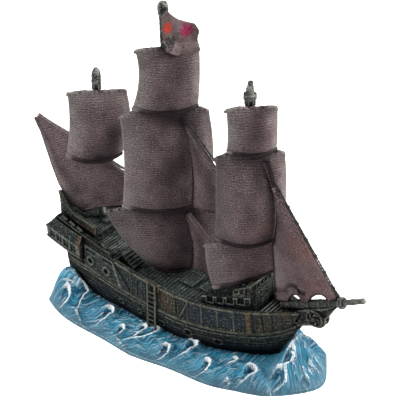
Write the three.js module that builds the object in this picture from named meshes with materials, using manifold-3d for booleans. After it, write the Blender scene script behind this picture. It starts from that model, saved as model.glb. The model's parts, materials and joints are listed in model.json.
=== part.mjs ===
// A painted model of a three-masted sailing ship on a carved sea base.
// Millimetres. +X is the bow, +Y is port, +Z is up. The origin is the middle of the base underside.
import * as THREE from 'three';
import { mergeVertices } from 'three/addons/utils/BufferGeometryUtils.js';
import Module from 'manifold-3d';

const wasm = await Module();
wasm.setup();

// ---- driving dimensions -------------------------------------------------------------------
const GAP = 0.3;                 // clearance between neighbouring pieces
const KEEL_Z = 4;                // flat bottom of the hull, resting in the base recess
const WATER_Z = 9;               // mean sea level on the base
const BASE_LENGTH = 194;
const BASE_WIDTH = 95;           // widest abreast of the main mast
const BASE_BOW_WIDTH = 73;
const HALF_BEAM = 26.2;          // widest half-breadth of the hull
const X_MID = 5;                 // length position of the widest section
const STEM_X = 70;               // stem at the waterline
const STEM_RAKE = 0.55;          // forward rake of the stem per mm of height
const STERN_TAPER = 0.16;        // share of the beam lost at the stern
const TRANSOM_X = -79;           // stern post at the waterline
const BULWARK_HEIGHT = 7.5;      // rail height above the main deck
const BULWARK_THICK = 1.6;
const BLOCK_TOP_Z = 45;          // the hull block rises no higher than this under the quarterdeck
const QUARTER_FRONT_X = -38;     // forward face of the quarterdeck
const QUARTER_BACK_X = -92;
const POOP_FRONT_X = -60;
const POOP_BACK_X = -88.6;
const POOP_Z = 53;
const FORECASTLE_X = [28, 57];
const LADDER_X = -9;
const MAIN_X = -16.5;            // mast positions along the centreline
const FORE_X = 45;
const MIZZEN_X = -70;
const MAST_R = [2.2, 1.5];       // mast radius at the deck and at the head
const YARD_R = 1.1;
const YARD_OUT = 3.4;            // yard axis in front of the mast axis
const SAIL_BACK = 4.8;           // rear face of a sail head in front of the mast axis
const SAIL_THICK = 1.8;
const BRACE = THREE.MathUtils.degToRad(46);   // the yards are braced round by this much
const LATEEN_SWING = THREE.MathUtils.degToRad(16);   // its after end swings to starboard
const ALONG = [Math.sin(BRACE), Math.cos(BRACE)];    // yard direction, port end forward
const AHEAD = [Math.cos(BRACE), -Math.sin(BRACE)];   // the way the square sails face

const lerp = (a, b, t) => a + (b - a) * t;
const clamp = (v, lo, hi) => Math.min(hi, Math.max(lo, v));
const curve3 = ([a, b, c], t) => a + (4 * b - 3 * a - c) * t + (2 * a + 2 * c - 4 * b) * t * t;
const hill = (x, y, cx, cy, rx, ry) => Math.exp(-(((x - cx) / rx) ** 2) - ((y - cy) / ry) ** 2);

// ---- materials ------------------------------------------------------------------------------
function paint(color, roughness) {
  return new THREE.MeshStandardMaterial({ color, roughness, metalness: 0 });
}
const sailPaint = () => paint(0x6b5a59, 0.85);
const hullPaint = () => paint(0x2b302e, 0.7);
const deckPaint = () => paint(0x4a524e, 0.8);
const trimPaint = () => paint(0x5b5737, 0.7);
const sparPaint = () => paint(0x4c514c, 0.75);
const seaPaint = () => paint(0x3b86ad, 0.5);
const flagPaint = () => paint(0x5e4f50, 0.8);

// ---- geometry helpers ------------------------------------------------------------------------
function tidy(geometry) {
  geometry.deleteAttribute('normal');
  geometry.deleteAttribute('uv');
  const merged = mergeVertices(geometry, 1e-4);
  merged.computeVertexNormals();
  return merged;
}

// A box of nx*ny*nz cells whose points are moved by place(u, v, w), each from 0 to 1.
function warpedBox(nx, ny, nz, place) {
  const geometry = new THREE.BoxGeometry(1, 1, 1, nx, ny, nz);
  const points = geometry.attributes.position;
  for (let i = 0; i < points.count; i += 1) {
    const p = place(points.getX(i) + 0.5, points.getY(i) + 0.5, points.getZ(i) + 0.5);
    points.setXYZ(i, p[0], p[1], p[2]);
  }
  return tidy(geometry);
}

function toSolid(geometry) {
  const clean = tidy(geometry.clone());
  return new wasm.Manifold(new wasm.Mesh({
    numProp: 3,
    vertProperties: new Float32Array(clean.attributes.position.array),
    triVerts: new Uint32Array(clean.index.array),
  }));
}

function fromSolid(solid) {
  const mesh = solid.getMesh();
  const geometry = new THREE.BufferGeometry();
  geometry.setAttribute('position', new THREE.BufferAttribute(mesh.vertProperties, 3));
  geometry.setIndex(new THREE.BufferAttribute(mesh.triVerts, 1));
  geometry.computeVertexNormals();
  return geometry;
}

function join(...geometries) {
  return fromSolid(geometries.map(toSolid).reduce((all, one) => all.add(one)));
}

function cut(body, ...tools) {
  return fromSolid(tools.map(toSolid).reduce((rest, tool) => rest.subtract(tool), toSolid(body)));
}

function block(x0, x1, y0, y1, z0, z1) {
  const geometry = new THREE.BoxGeometry(x1 - x0, y1 - y0, z1 - z0);
  geometry.translate((x0 + x1) / 2, (y0 + y1) / 2, (z0 + z1) / 2);
  return geometry;
}

// A flat outline in the X-Z plane, thickened from y0 to y1.
function sidePlate(outline, y0, y1) {
  const shape = new THREE.Shape(outline.map(([x, z]) => new THREE.Vector2(x, z)));
  const geometry = new THREE.ExtrudeGeometry(shape, { depth: y1 - y0, bevelEnabled: false });
  geometry.rotateX(Math.PI / 2);
  geometry.translate(0, y1, 0);
  return geometry;
}

// A turned piece standing on z0 whose profile is a list of [radius, height].
function turned(profile, z0, sides = 12) {
  const points = [[0, profile[0][1]], ...profile, [0, profile[profile.length - 1][1]]];
  const geometry = new THREE.LatheGeometry(points.map(([r, z]) => new THREE.Vector2(r, z)), sides);
  geometry.rotateX(Math.PI / 2);
  geometry.translate(0, 0, z0);
  return geometry;
}

// A round spar from point a to point b, thicker in the middle than at the ends.
function spar(a, b, rMiddle, rEnd, sides = 8) {
  const from = new THREE.Vector3(...a);
  const to = new THREE.Vector3(...b);
  const length = from.distanceTo(to);
  const geometry = turned([[rEnd, 0], [rMiddle, length / 2], [rEnd, length]], 0, sides);
  const turn = new THREE.Quaternion().setFromUnitVectors(
    new THREE.Vector3(0, 0, 1), to.clone().sub(from).normalize());
  geometry.applyQuaternion(turn);
  geometry.translate(...a);
  return geometry;
}

// ---- hull form -------------------------------------------------------------------------------
const stemX = (z) => STEM_X + STEM_RAKE * (z - WATER_Z);
const sternX = (z) => TRANSOM_X - 0.19 * (z - WATER_Z);
const railZ = (x) => 42 + 0.0016 * (x - 12) ** 2;
const waleZ = (x) => 26 + 0.001 * (Math.max(x, -60) - 10) ** 2 + (x > 60 ? 0.014 * (x - 60) ** 2 : 0);
const deckZ = (x) => railZ(x) - BULWARK_HEIGHT;
const blockTopZ = (x) => Math.min(deckZ(x), BLOCK_TOP_Z);
const ledgeZ = (x) => 50 + (QUARTER_FRONT_X - x) * 0.115;
const quarterZ = (x) => 46.5 + (QUARTER_FRONT_X - x) * 0.06;

function hullHalf(x, z) {
  const fullness = HALF_BEAM * (1 - 0.14 * clamp((26 - z) / 22, 0, 1) ** 2);
  if (x > X_MID) {
    const f = (x - X_MID) / (stemX(z) - X_MID);
    return Math.max(0.9, fullness * (1 - f * f));
  }
  return fullness * (1 - STERN_TAPER * ((X_MID - x) / 85) ** 3);
}

// The solid hull up to the main deck; grow swells it evenly for the recess in the base.
function hullBody(grow = 0) {
  return warpedBox(22, 4, 6, (u, v, w) => {
    const level = lerp(KEEL_Z, 35, w);
    const z = level + w * (blockTopZ(lerp(sternX(35), stemX(42), u)) - 35);
    const x = lerp(sternX(z) - grow, stemX(z) + grow, u);
    return [x, (2 * v - 1) * (hullHalf(x, z) + grow), z];
  });
}

// A strip that follows the hull side (side is +1 to port, -1 to starboard).
function sideStrip(side, x0, x1, inner, outer, zLow, zHigh, cells = 18) {
  return warpedBox(cells, 1, 1, (u, v, w) => {
    const x = lerp(x0, x1, u);
    const z = w === 0 ? zLow(x) : zHigh(x);
    const reach = side > 0 ? lerp(inner, outer, v) : lerp(outer, inner, v);
    return [x, side * (hullHalf(x, 36) + reach), z];
  });
}

const PLANKS = 0.9;                 // the planked deck lies this far above the hull block

function mainDeck() {
  return warpedBox(12, 1, 1, (u, v, w) => {
    const x = lerp(QUARTER_FRONT_X + 0.6, FORECASTLE_X[0] - 2.6, u);
    const half = hullHalf(x, deckZ(x)) - BULWARK_THICK - 0.6;
    return [x, (2 * v - 1) * half, deckZ(x) + (w === 0 ? 0.25 : PLANKS)];
  });
}

// Round port frames standing proud of the side at each [x, z].
function portRings(side, places, proud) {
  return places.map(([x, z]) => {
    const ring = new THREE.TorusGeometry(2.7, 0.9, 6, 12);
    ring.rotateX(Math.PI / 2);
    ring.translate(x, side * (hullHalf(x, z) + proud), z);
    return ring;
  });
}

function hull() {
  const low = [[20, 17.5], [39, 16.5]];
  return join(hullBody(), ...portRings(1, low, -0.1), ...portRings(-1, low, -0.1));
}

// ---- the sea base ----------------------------------------------------------------------------
function seaZ(x, y) {
  const side = Math.abs(y);
  const swell = 1.6 * Math.sin(x / 9 + side / 6) * clamp((side - 24) / 8, 0, 1);
  const stern = 17 * hill(x, side, -80, 26, 13, 9);
  const bow = 19 * hill(x, y, 82, 6, 13, 17);
  const rim = -3.5 * clamp((side - 36) / 10, 0, 1);
  return WATER_Z + swell + stern + bow + rim;
}

function waveBase() {
  const slab = warpedBox(34, 18, 2, (u, v, w) => {
    const a = 2 * u - 1;
    const b = 2 * v - 1;
    const towardBow = clamp((a + 0.1) / 0.9, 0, 1);
    const corner = a > 0 && b < 0 ? 0.34 : 0.18;
    const x = BASE_LENGTH / 2 * a * Math.sqrt(1 - corner * b * b);
    const width = lerp(BASE_WIDTH, BASE_BOW_WIDTH, towardBow) * (1 + 0.014 * Math.sin(9 * a + 2));
    const y = width / 2 * b * Math.sqrt(1 - 0.38 * a ** 4);
    const edge = Math.max(Math.abs(a), Math.abs(b)) ** 8;
    const top = lerp(seaZ(x, y), Math.min(seaZ(x, y), 7.5), edge);
    return [x * (1 - 0.012 * w), y * (1 - 0.012 * w), top * w];
  });
  return cut(slab, hullBody(GAP));
}

// ---- upper works -----------------------------------------------------------------------------
function bowPost(side) {
  const x = FORECASTLE_X[1];
  const y = side * (hullHalf(x, 36) + 0.4);
  return block(x - 0.9, x + 0.9, y - 0.9, y + 0.9, deckZ(x) + 0.5, railZ(x) + 1);
}

// The bulwark leans outward and runs from the quarterdeck to the stem.
function bulwark(side) {
  const plank = (inner, outer, low, high) => warpedBox(26, 1, 1, (u, v, w) => {
    const x = lerp(QUARTER_FRONT_X + 1, w === 0 ? 82 : 87.4, u);
    const t = side > 0 ? v : 1 - v;
    const level = w === 0 ? low(x) : high(x);
    return [x, side * (hullHalf(x, level) + lerp(inner, outer, t)), level];
  });
  const strip = plank(-BULWARK_THICK, 0, (x) => deckZ(x) + GAP, railZ);
  const cap = plank(-BULWARK_THICK - 0.4, 0.7, (x) => railZ(x) - 0.4, (x) => railZ(x) + 0.8);
  return join(strip, cap, bowPost(side));
}

function wale(side) {
  return warpedBox(28, 1, 1, (u, v, w) => {
    const x = lerp(-78, 84, u);
    const z = waleZ(x) + (w === 0 ? -0.9 : 0.9);
    const reach = GAP / 6 + (side > 0 ? v : 1 - v) * 1.2;
    return [x, side * (hullHalf(x, z) + reach + 0.2 + (x > 74 ? 0.35 : 0)), z];
  });
}

function quarterPanel(side) {
  const panel = warpedBox(10, 1, 1, (u, v, w) => {
    const x = lerp(-64, w === 0 ? -24 : -38.6, u);
    const z = w === 0 ? waleZ(x) + 1.3 : lerp(48, 45.4, u);
    const reach = 0.25 + (side > 0 ? v : 1 - v) * 0.9;
    return [x, side * (hullHalf(x, 36) + reach), z];
  });
  return join(panel, ...portRings(side, [[-58, 38], [-44, 36.5]], 1.3));
}

function quarterdeck() {
  return warpedBox(8, 1, 1, (u, v, w) => {
    const x = lerp(QUARTER_BACK_X, QUARTER_FRONT_X, u);
    return [x, (2 * v - 1) * hullHalf(x, 36), w === 0 ? blockTopZ(x) + GAP : quarterZ(x)];
  });
}

function quarterRail(side) {
  const wall = sideStrip(side, QUARTER_BACK_X + 1, -41, -2, -0.2, (x) => quarterZ(x) + GAP, ledgeZ, 8);
  const cap = sideStrip(side, QUARTER_BACK_X + 1, -41, -2.6, 0.8,
    (x) => ledgeZ(x) - 0.5, (x) => ledgeZ(x) + 0.7, 8);
  return join(wall, cap);
}

const poopHalf = (u) => lerp(15.2, 17, u);

function poopDeck() {
  return warpedBox(4, 1, 1, (u, v, w) => {
    const x = lerp(POOP_BACK_X, POOP_FRONT_X, u);
    return [x, (2 * v - 1) * poopHalf(u), w === 0 ? quarterZ(x) + GAP : POOP_Z];
  });
}

function poopBulwark(side) {
  return warpedBox(8, 1, 1, (u, v, w) => {
    const x = lerp(POOP_BACK_X, POOP_FRONT_X + 0.5, u);
    const crown = 58.8 + 3.6 * (1 - u) + 10.5 * clamp(1 - u / 0.4, 0, 1) ** 2;
    const t = side > 0 ? v : 1 - v;
    const y = poopHalf(u) + GAP + 1.4 * t;
    return [x, side * y, w === 0 ? quarterZ(x) + GAP : crown];
  });
}

function taffrail() {
  return warpedBox(1, 12, 1, (u, v, w) => {
    const b = 2 * v - 1;
    const x = POOP_BACK_X - GAP - 1.8 * (1 - u) - (w === 0 ? 0 : 1.2);
    const crown = 69.5 + 4 * b * b;
    return [x, b * 17, w === 0 ? quarterZ(QUARTER_BACK_X) + GAP : crown];
  });
}

function quarterGallery(side) {
  const casing = warpedBox(10, 1, 3, (u, v, w) => {
    const level = Math.round(w * 3);
    const x = lerp([-92.5, -99, -99, -93.2][level], -66, u);
    const outer = [1.8, 4.2, 4.6, 1.5][level];
    const z = [34.6, 37.6, 46.4, 52.2][level];
    const t = side > 0 ? v : 1 - v;
    const inner = Math.max(hullHalf(x, 36), 20.2) + GAP;
    return [x, side * lerp(inner, hullHalf(x, 36) + outer, t), z - 0.04 * (x + 66)];
  });
  const windows = [];
  for (let i = 0; i < 4; i += 1) {
    const x = -93 + 7 * i;
    const y = hullHalf(x, 36) + 4.4;
    windows.push(block(x - 2.4, x + 2.4, side > 0 ? y - 0.6 : -y - 2, side > 0 ? y + 2 : -y + 0.6, 40, 45));
  }
  return cut(casing, ...windows);
}

function sternGallery() {
  const outline = [[-84.4, 30.5], [-84.4, 34.6], [-92.3, 34.6], [-92.3, 54.6], [-93.2, 54.6],
    [-99.6, 46], [-101.4, 38.4], [-90, 32.6]];
  const body = sidePlate([...outline].reverse(), -19.6, 19.6);
  const windows = [];
  for (const y of [-15, -9, -3, 3, 9, 15]) {
    windows.push(block(-104, -99.4, y - 2.2, y + 2.2, 39.8, 44.8));
  }
  return cut(body, ...windows);
}

function rudder() {
  return sidePlate([[-80.7, 9.6], [-84.6, 30], [-90.5, 29.8], [-90.2, 20], [-88.5, 9.6]], -1.3, 1.3);
}

const roofZ = (x) => lerp(47.5, 53.4, (x - FORECASTLE_X[0]) / (FORECASTLE_X[1] - FORECASTLE_X[0]));
const cabinHalf = (x) => hullHalf(x, 36) - BULWARK_THICK - 0.9;

function forecastle() {
  const cabin = warpedBox(8, 1, 1, (u, v, w) => {
    const x = lerp(FORECASTLE_X[0] + (w === 0 ? -2 : 0), FORECASTLE_X[1], u);
    return [x, (2 * v - 1) * (cabinHalf(x) - (w === 0 ? 0 : 0.6)), w === 0 ? deckZ(x) + GAP : roofZ(x)];
  });
  const windows = [];
  for (const side of [-1, 1]) {
    for (let i = 0; i < 5; i += 1) {
      const x = 33 + 4.8 * i;
      const y = side * cabinHalf(x);
      windows.push(block(x - 1.6, x + 1.6, y - 1.1, y + 1.1, 45 + 0.9 * i, 48 + 0.9 * i));
    }
  }
  return cut(cabin, ...windows);
}

function forecastleRail() {
  const rails = [];
  for (const side of [-1, 1]) {
    rails.push(warpedBox(3, 1, 1, (u, v, w) => {
      const x = lerp(47, FORECASTLE_X[1] - 0.2, u);
      const y = cabinHalf(x) - 0.8 - (side > 0 ? 1 - v : v) * 1.6;
      return [x, side * y, w === 0 ? roofZ(x) + GAP : lerp(57, 61.5, u)];
    }));
  }
  const foot = roofZ(54.8) + 0.5;
  const beam = warpedBox(1, 1, 1, (u, v, w) => {
    const x = 54.8 + 2 * u;
    return [x, (2 * v - 1) * (cabinHalf(x) - 0.9), w === 0 ? roofZ(x) + GAP : 61.5];
  });
  const openings = [-9, 0, 9].map((y) => block(54, 58, y - 2.6, y + 2.6, foot + 1, 59));
  return cut(join(...rails, beam), ...openings);
}

function beakheadGrating() {
  const floor = warpedBox(8, 1, 1, (u, v, w) => {
    const x = lerp(58, 80, u);
    const half = hullHalf(x, 36) - BULWARK_THICK - 0.9;
    return [x, (2 * v - 1) * half, deckZ(x) + (w === 0 ? GAP : 2.4)];
  });
  const slots = [];
  for (let i = 0; i < 5; i += 1) {
    const x = 60 + 2.6 * i;
    const half = hullHalf(x + 1.1, 36) - BULWARK_THICK - 1.8;
    slots.push(block(x, x + 1.1, -half, half, deckZ(x) + 1.4, 60));
  }
  return cut(floor, ...slots);
}

function headKnee() {
  const outline = [[89.6, 43.2], [98, 45.2], [101, 49.4], [103, 54.6], [109.4, 61.2], [107, 61.8],
    [100, 58.3], [89.6, 53.1]];
  return sidePlate([...outline].reverse(), -2, 2);
}

// A carved scroll on each cheek of the knee, joined by a pin through it.
function figureheadScroll(side) {
  const profile = [[5.2, 0], [5.6, 0.8], [5.2, 1.8], [3.6, 1.8], [3.6, 1.2], [1.6, 1.2], [1.2, 2.6]];
  const wheel = turned(profile, 0, 16);
  wheel.rotateX(side > 0 ? -Math.PI / 2 : Math.PI / 2);
  wheel.translate(97, side * (2 + GAP / 3), 52);
  return wheel;
}

function bowsprit() {
  return spar([73, 0, 49.2], [111.2, 0, 68.2], 3, 2.4, 10);
}

function bowspritCap() {
  const ring = turned([[3.2, 0], [3.6, 1], [3.2, 2.4]], 0, 12);
  ring.rotateY(THREE.MathUtils.degToRad(63.4));
  ring.translate(111.6, 0, 68.5);
  return ring;
}

function jibBoom() {
  return spar([114.1, 0, 69.8], [127, 0, 77], 1.7, 1.5, 10);
}

function companionStairs() {
  const foot = deckZ(QUARTER_FRONT_X) + PLANKS + 0.2;
  const shape = [[QUARTER_FRONT_X + 0.3, foot]];
  for (let i = 0; i < 5; i += 1) {
    const x = QUARTER_FRONT_X + 0.3 + 1.8 * (5 - i);
    shape.push([x, foot + 1.7 * i]);
    shape.push([x, foot + 1.7 * (i + 1)]);
  }
  shape.push([QUARTER_FRONT_X + 0.3, foot + 8.5]);
  return sidePlate(shape, -19, -9);
}

function boardingLadder() {
  const skin = hullHalf(LADDER_X, 36) + 1.9;
  const rungs = [];
  for (let i = 0; i < 8; i += 1) {
    const z = 12.5 + 3.6 * i;
    rungs.push(block(LADDER_X, LADDER_X + 6, -skin - 0.8, -skin + 0.2, z, z + 0.9));
  }
  const rail = (x) => block(x, x + 1.3, -skin - 1, -skin + 0.4, 10.5, 44.5);
  return join(rail(LADDER_X - 0.6), rail(LADDER_X + 5.3), ...rungs);
}

// ---- masts -----------------------------------------------------------------------------------
function mast(zFoot, zHead) {
  return turned([[MAST_R[0], 0], [MAST_R[1], zHead - zFoot]], zFoot, 10);
}

function domedHead() {
  return turned([[2.6, 0], [2.6, 2], [3.2, 2.4], [3.2, 3.6], [2.7, 4], [3.1, 4.6], [3.1, 6.2], [3.6, 7],
    [3.4, 9.4], [1.8, 11.2]], 0, 12);
}

function peggedHead() {
  return turned([[2.9, 0], [2.9, 4], [3.6, 4.4], [3.6, 7.2], [2.9, 7.6], [2.2, 8], [1.8, 15]], 0, 12);
}

function bulletHead() {
  return turned([[2.6, 0], [2.6, 5], [3, 5.4], [3, 10], [2.4, 12.8], [1, 14.6]], 0, 12);
}

// ---- sails -----------------------------------------------------------------------------------
// left and right give the edge at the head, middle and foot along the yard; foot gives the height
// of the foot at its left end, middle and right end.
const SAILS = {
  main_course: {
    x: MAIN_X,
    head: 86,
    foot: [41, 42, 44],
    left: [-37.5, -26.5, -9],
    right: [37, 26.5, 12],
    belly: 7.5,
  },
  main_topsail: {
    x: MAIN_X,
    head: 151,
    foot: [88, 87, 90],
    left: [-26.6, -25, -27],
    right: [25.5, 28.5, 26],
    belly: 9,
  },
  main_topgallant: {
    x: MAIN_X,
    head: 193,
    foot: [155, 154, 155],
    left: [-16.5, -15, -19.5],
    right: [20, 20.3, 19.2],
    belly: 8,
  },
  fore_course: {
    x: FORE_X,
    head: 86,
    foot: [54, 60.5, 67],
    left: [-25.2, -24, -20.3],
    right: [25, 24, 20],
    belly: 5,
  },
  fore_topsail: {
    x: FORE_X,
    head: 145.5,
    foot: [92, 90, 92],
    left: [-19.5, -19.3, -19.3],
    right: [19.7, 21.4, 20],
    belly: 12,
  },
  fore_topgallant: {
    x: FORE_X,
    head: 175.5,
    foot: [148.4, 147.4, 148.4],
    left: [-14, -13, -13.3],
    right: [14.5, 15, 15],
    belly: 6,
  },
  mizzen_topsail: {
    x: MIZZEN_X,
    head: 148,
    foot: [104, 102.5, 103],
    left: [-18, -17.9, -21],
    right: [17.6, 19.5, 13.5],
    belly: 8,
  },
};

// How far the sail blows forward at a place t across it and d down it, each from 0 to 1.
function fullness(sail, t, d) {
  const across = 1 - Math.abs(2 * t - 1) ** 2.2;
  const down = 1.02 * (1 - (1 - d) ** 2.6) - 0.18 * d ** 4;
  return sail.belly * across * down;
}

function sailPoint(sail, t, d, behind) {
  const s = lerp(curve3(sail.left, d), curve3(sail.right, d), t);
  const out = SAIL_BACK + fullness(sail, t, d) + (behind ? 0 : SAIL_THICK);
  const z = lerp(sail.head, curve3(sail.foot, t), d);
  return [sail.x + s * ALONG[0] + out * AHEAD[0], s * ALONG[1] + out * AHEAD[1], z];
}

function squareSail(sail) {
  return warpedBox(12, 10, 1, (u, v, w) => sailPoint(sail, u, 1 - v, w === 0));
}

// Where the front of a square sail crosses the centreline at height z.
function sailFrontX(sail, z) {
  let best = sail.x;
  const d = clamp((sail.head - z) / (sail.head - curve3(sail.foot, 0.7)), 0, 1);
  for (let t = 0; t <= 1; t += 0.02) {
    const [x, y] = sailPoint(sail, t, d, false);
    if (Math.abs(y) < 2.6) best = Math.max(best, x);
  }
  return best;
}

function yard(sail, reach) {
  const point = (s) => [sail.x + s * ALONG[0] + YARD_OUT * AHEAD[0],
    s * ALONG[1] + YARD_OUT * AHEAD[1], sail.head - 2.4];
  return spar(point(sail.left[0] - reach), point(sail.right[0] + reach), YARD_R, 0.8);
}

// A fore-and-aft sail near the centreline. luff and leech are [x, z] lists from head to foot.
function staySail(luff, leech, belly, cells = 8) {
  const at = (line, t) => {
    const k = clamp(t * (line.length - 1), 0, line.length - 1.001);
    const i = Math.floor(k);
    return [lerp(line[i][0], line[i + 1][0], k - i), lerp(line[i][1], line[i + 1][1], k - i)];
  };
  return warpedBox(6, cells, 1, (u, v, w) => {
    const a = at(leech, 1 - v);
    const b = at(luff, 1 - v);
    const sag = belly * Math.sin(Math.PI * u) * Math.sin(Math.PI * clamp(1.15 - v, 0, 1) * 0.85);
    const thick = 0.9;
    return [lerp(a[0], b[0], u), -sag + (w === 0 ? thick : -thick), lerp(a[1], b[1], u)];
  });
}

function leechAlong(upper, lower, zTop, zFoot, steps = 8) {
  const line = [];
  for (let i = 0; i <= steps; i += 1) {
    const z = lerp(zTop, zFoot, i / steps);
    const sail = z > lower.head + 1 ? upper : lower;
    line.push([sailFrontX(sail, z) + 0.8, z]);
  }
  return line;
}

function mainStaysail() {
  const leech = leechAlong(SAILS.main_topsail, SAILS.main_course, 149, 91);
  const luff = leech.map((_, i) => [lerp(-3.5, 41.5, i / 8), lerp(149.4, 106, i / 8) - (i === 8 ? 4 : 0)]);
  return staySail(luff, leech, 1.5);
}

function lowerStaysail() {
  const leech = leechAlong(SAILS.main_topsail, SAILS.main_course, 82.5, 45, 5)
    .map(([, z]) => [Math.max(sailFrontX(SAILS.main_course, z) + 0.8, 0.5), z]);
  const luff = leech.map((_, i) => [lerp(3.5, 26, i / 5), lerp(82, 68, i / 5) - (i === 5 ? 14 : 0)]);
  return staySail(luff, leech, 1, 5);
}

function jib() {
  const leech = leechAlong(SAILS.fore_topsail, SAILS.fore_course, 143, 53);
  leech.forEach((point) => {
    if (point[1] < 92) point[0] = lerp(65.8, 68.6, (92 - point[1]) / 39);
  });
  const luff = leech.map((_, i) => [lerp(57.6, 109.2, i / 8), lerp(143.8, 74.4, i / 8)]);
  luff[8] = [107.4, 72.8];
  return staySail(luff, leech, 2.5);
}

// The lateen is drawn in its own frame: X along the sail from the mast, Z up, set on -Y.
function lateenSail() {
  const head = [[-41, 122], [-20, 114.5], [8, 102], [30, 92]];
  const foot = [[-38.6, 115], [-21.8, 74], [-8, 61.6], [30, 73]];
  const between = (line, k, i) => [lerp(line[i][0], line[i + 1][0], k - i),
    lerp(line[i][1], line[i + 1][1], k - i)];
  return warpedBox(9, 6, 1, (u, v, w) => {
    const k = clamp(u * 3, 0, 2.999);
    const top = between(head, k, Math.floor(k));
    const low = between(foot, k, Math.floor(k));
    const sag = 2.5 * Math.sin(Math.PI * u) * Math.sin(Math.PI * (1 - v) * 0.8);
    return [lerp(low[0], top[0], v), -5 - sag + (w === 0 ? 0.9 : -0.9), lerp(low[1], top[1], v)];
  });
}

// The flag hangs in front of the mast and its upper corner clears the masthead.
function flag() {
  return warpedBox(8, 5, 1, (u, v, w) => {
    const s = lerp(v < 0.5 ? -2.2 : lerp(0.8, 4.6, clamp(v * 5 - 3, 0, 1)), 20.5, u);
    const out = 2 + 4 * u + 1.2 * Math.sin(u * 5) + (w === 0 ? 0 : 1.4);
    const top = 214 - 9 * Math.sqrt(u);
    const z = lerp(194.6, top, v);
    return [MAIN_X + s * ALONG[0] + out * AHEAD[0], s * ALONG[1] + out * AHEAD[1], z];
  });
}

// ---- assembly --------------------------------------------------------------------------------
const ship = new THREE.Group();
ship.name = 'model_sailing_ship';

function add(name, geometry, material, parent = ship) {
  const mesh = new THREE.Mesh(tidy(geometry), material);
  mesh.name = name;
  parent.add(mesh);
  return mesh;
}

add('wave_base', waveBase(), seaPaint());
add('hull', hull(), hullPaint());
add('main_deck', mainDeck(), deckPaint());
add('quarterdeck', quarterdeck(), deckPaint());
add('poop_deck', poopDeck(), deckPaint());
add('taffrail', taffrail(), trimPaint());
add('stern_gallery', sternGallery(), hullPaint());
add('rudder', rudder(), hullPaint());
for (const [side, name] of [[1, 'port'], [-1, 'starboard']]) {
  add(`bulwark_${name}`, bulwark(side), trimPaint());
  add(`wale_${name}`, wale(side), trimPaint());
  add(`quarter_panel_${name}`, quarterPanel(side), hullPaint());
  add(`quarter_rail_${name}`, quarterRail(side), trimPaint());
  add(`quarter_gallery_${name}`, quarterGallery(side), hullPaint());
  add(`poop_bulwark_${name}`, poopBulwark(side), trimPaint());
  add(`figurehead_scroll_${name}`, figureheadScroll(side), trimPaint());
}
add('companion_stairs', companionStairs(), deckPaint());
add('boarding_ladder', boardingLadder(), trimPaint());
add('forecastle', forecastle(), hullPaint());
add('forecastle_rail', forecastleRail(), trimPaint());
add('beakhead_grating', beakheadGrating(), deckPaint());
add('head_knee', headKnee(), hullPaint());
add('bowsprit', bowsprit(), sparPaint());
add('bowsprit_cap', bowspritCap(), sparPaint());
add('jib_boom', jibBoom(), sparPaint());

const MASTS = [
  ['main', MAIN_X, deckZ(MAIN_X) + PLANKS + 0.2, 208.6, domedHead],
  ['fore', FORE_X, roofZ(FORE_X) + 0.6, 174.6, peggedHead],
  ['mizzen', MIZZEN_X, POOP_Z, 146.6, bulletHead],
];
for (const [name, x, zFoot, zHead, head] of MASTS) {
  const stand = new THREE.Group();
  stand.name = `${name}_mast_stand`;
  stand.position.set(x, 0, 0);
  ship.add(stand);
  add(`${name}_mast`, mast(zFoot, zHead), sparPaint(), stand);
  add(`${name}_masthead`, head(), sparPaint(), stand).position.z = zHead;
}

for (const [name, sail] of Object.entries(SAILS)) {
  add(`${name}_sail`, squareSail(sail), sailPaint());
  add(`${name}_yard`, yard(sail, 0.8), sparPaint());
}
const lateen = new THREE.Group();
lateen.name = 'lateen_rig';
lateen.position.set(MIZZEN_X, 0, 0);
lateen.rotation.z = LATEEN_SWING;
ship.add(lateen);
add('lateen_sail', lateenSail(), sailPaint(), lateen);
add('lateen_yard', spar([-41.5, -2.9, 120.6], [31, -2.9, 90.2], 0.9, 0.7), sparPaint(), lateen);
add('main_staysail', mainStaysail(), sailPaint());
add('lower_staysail', lowerStaysail(), sailPaint());
add('jib', jib(), sailPaint());
add('fore_stay', spar([58.7, 0, 144.6], [110.4, 0, 74.9], 0.55, 0.55, 6), sparPaint());
add('main_stay', spar([-2, 0, 151], [42.2, 0, 109.2], 0.55, 0.55, 6), sparPaint());
add('flag', flag(), flagPaint());

export default ship;
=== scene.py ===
"""A painted cast-resin model of a three-masted sailing ship on a carved sea base.

Lengths inside the functions are millimetres in the frame of the part: +X bow, +Y port, +Z up.
piece() turns them into metres. Every piece rides on the single body, root.
"""

import json
import math

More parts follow.
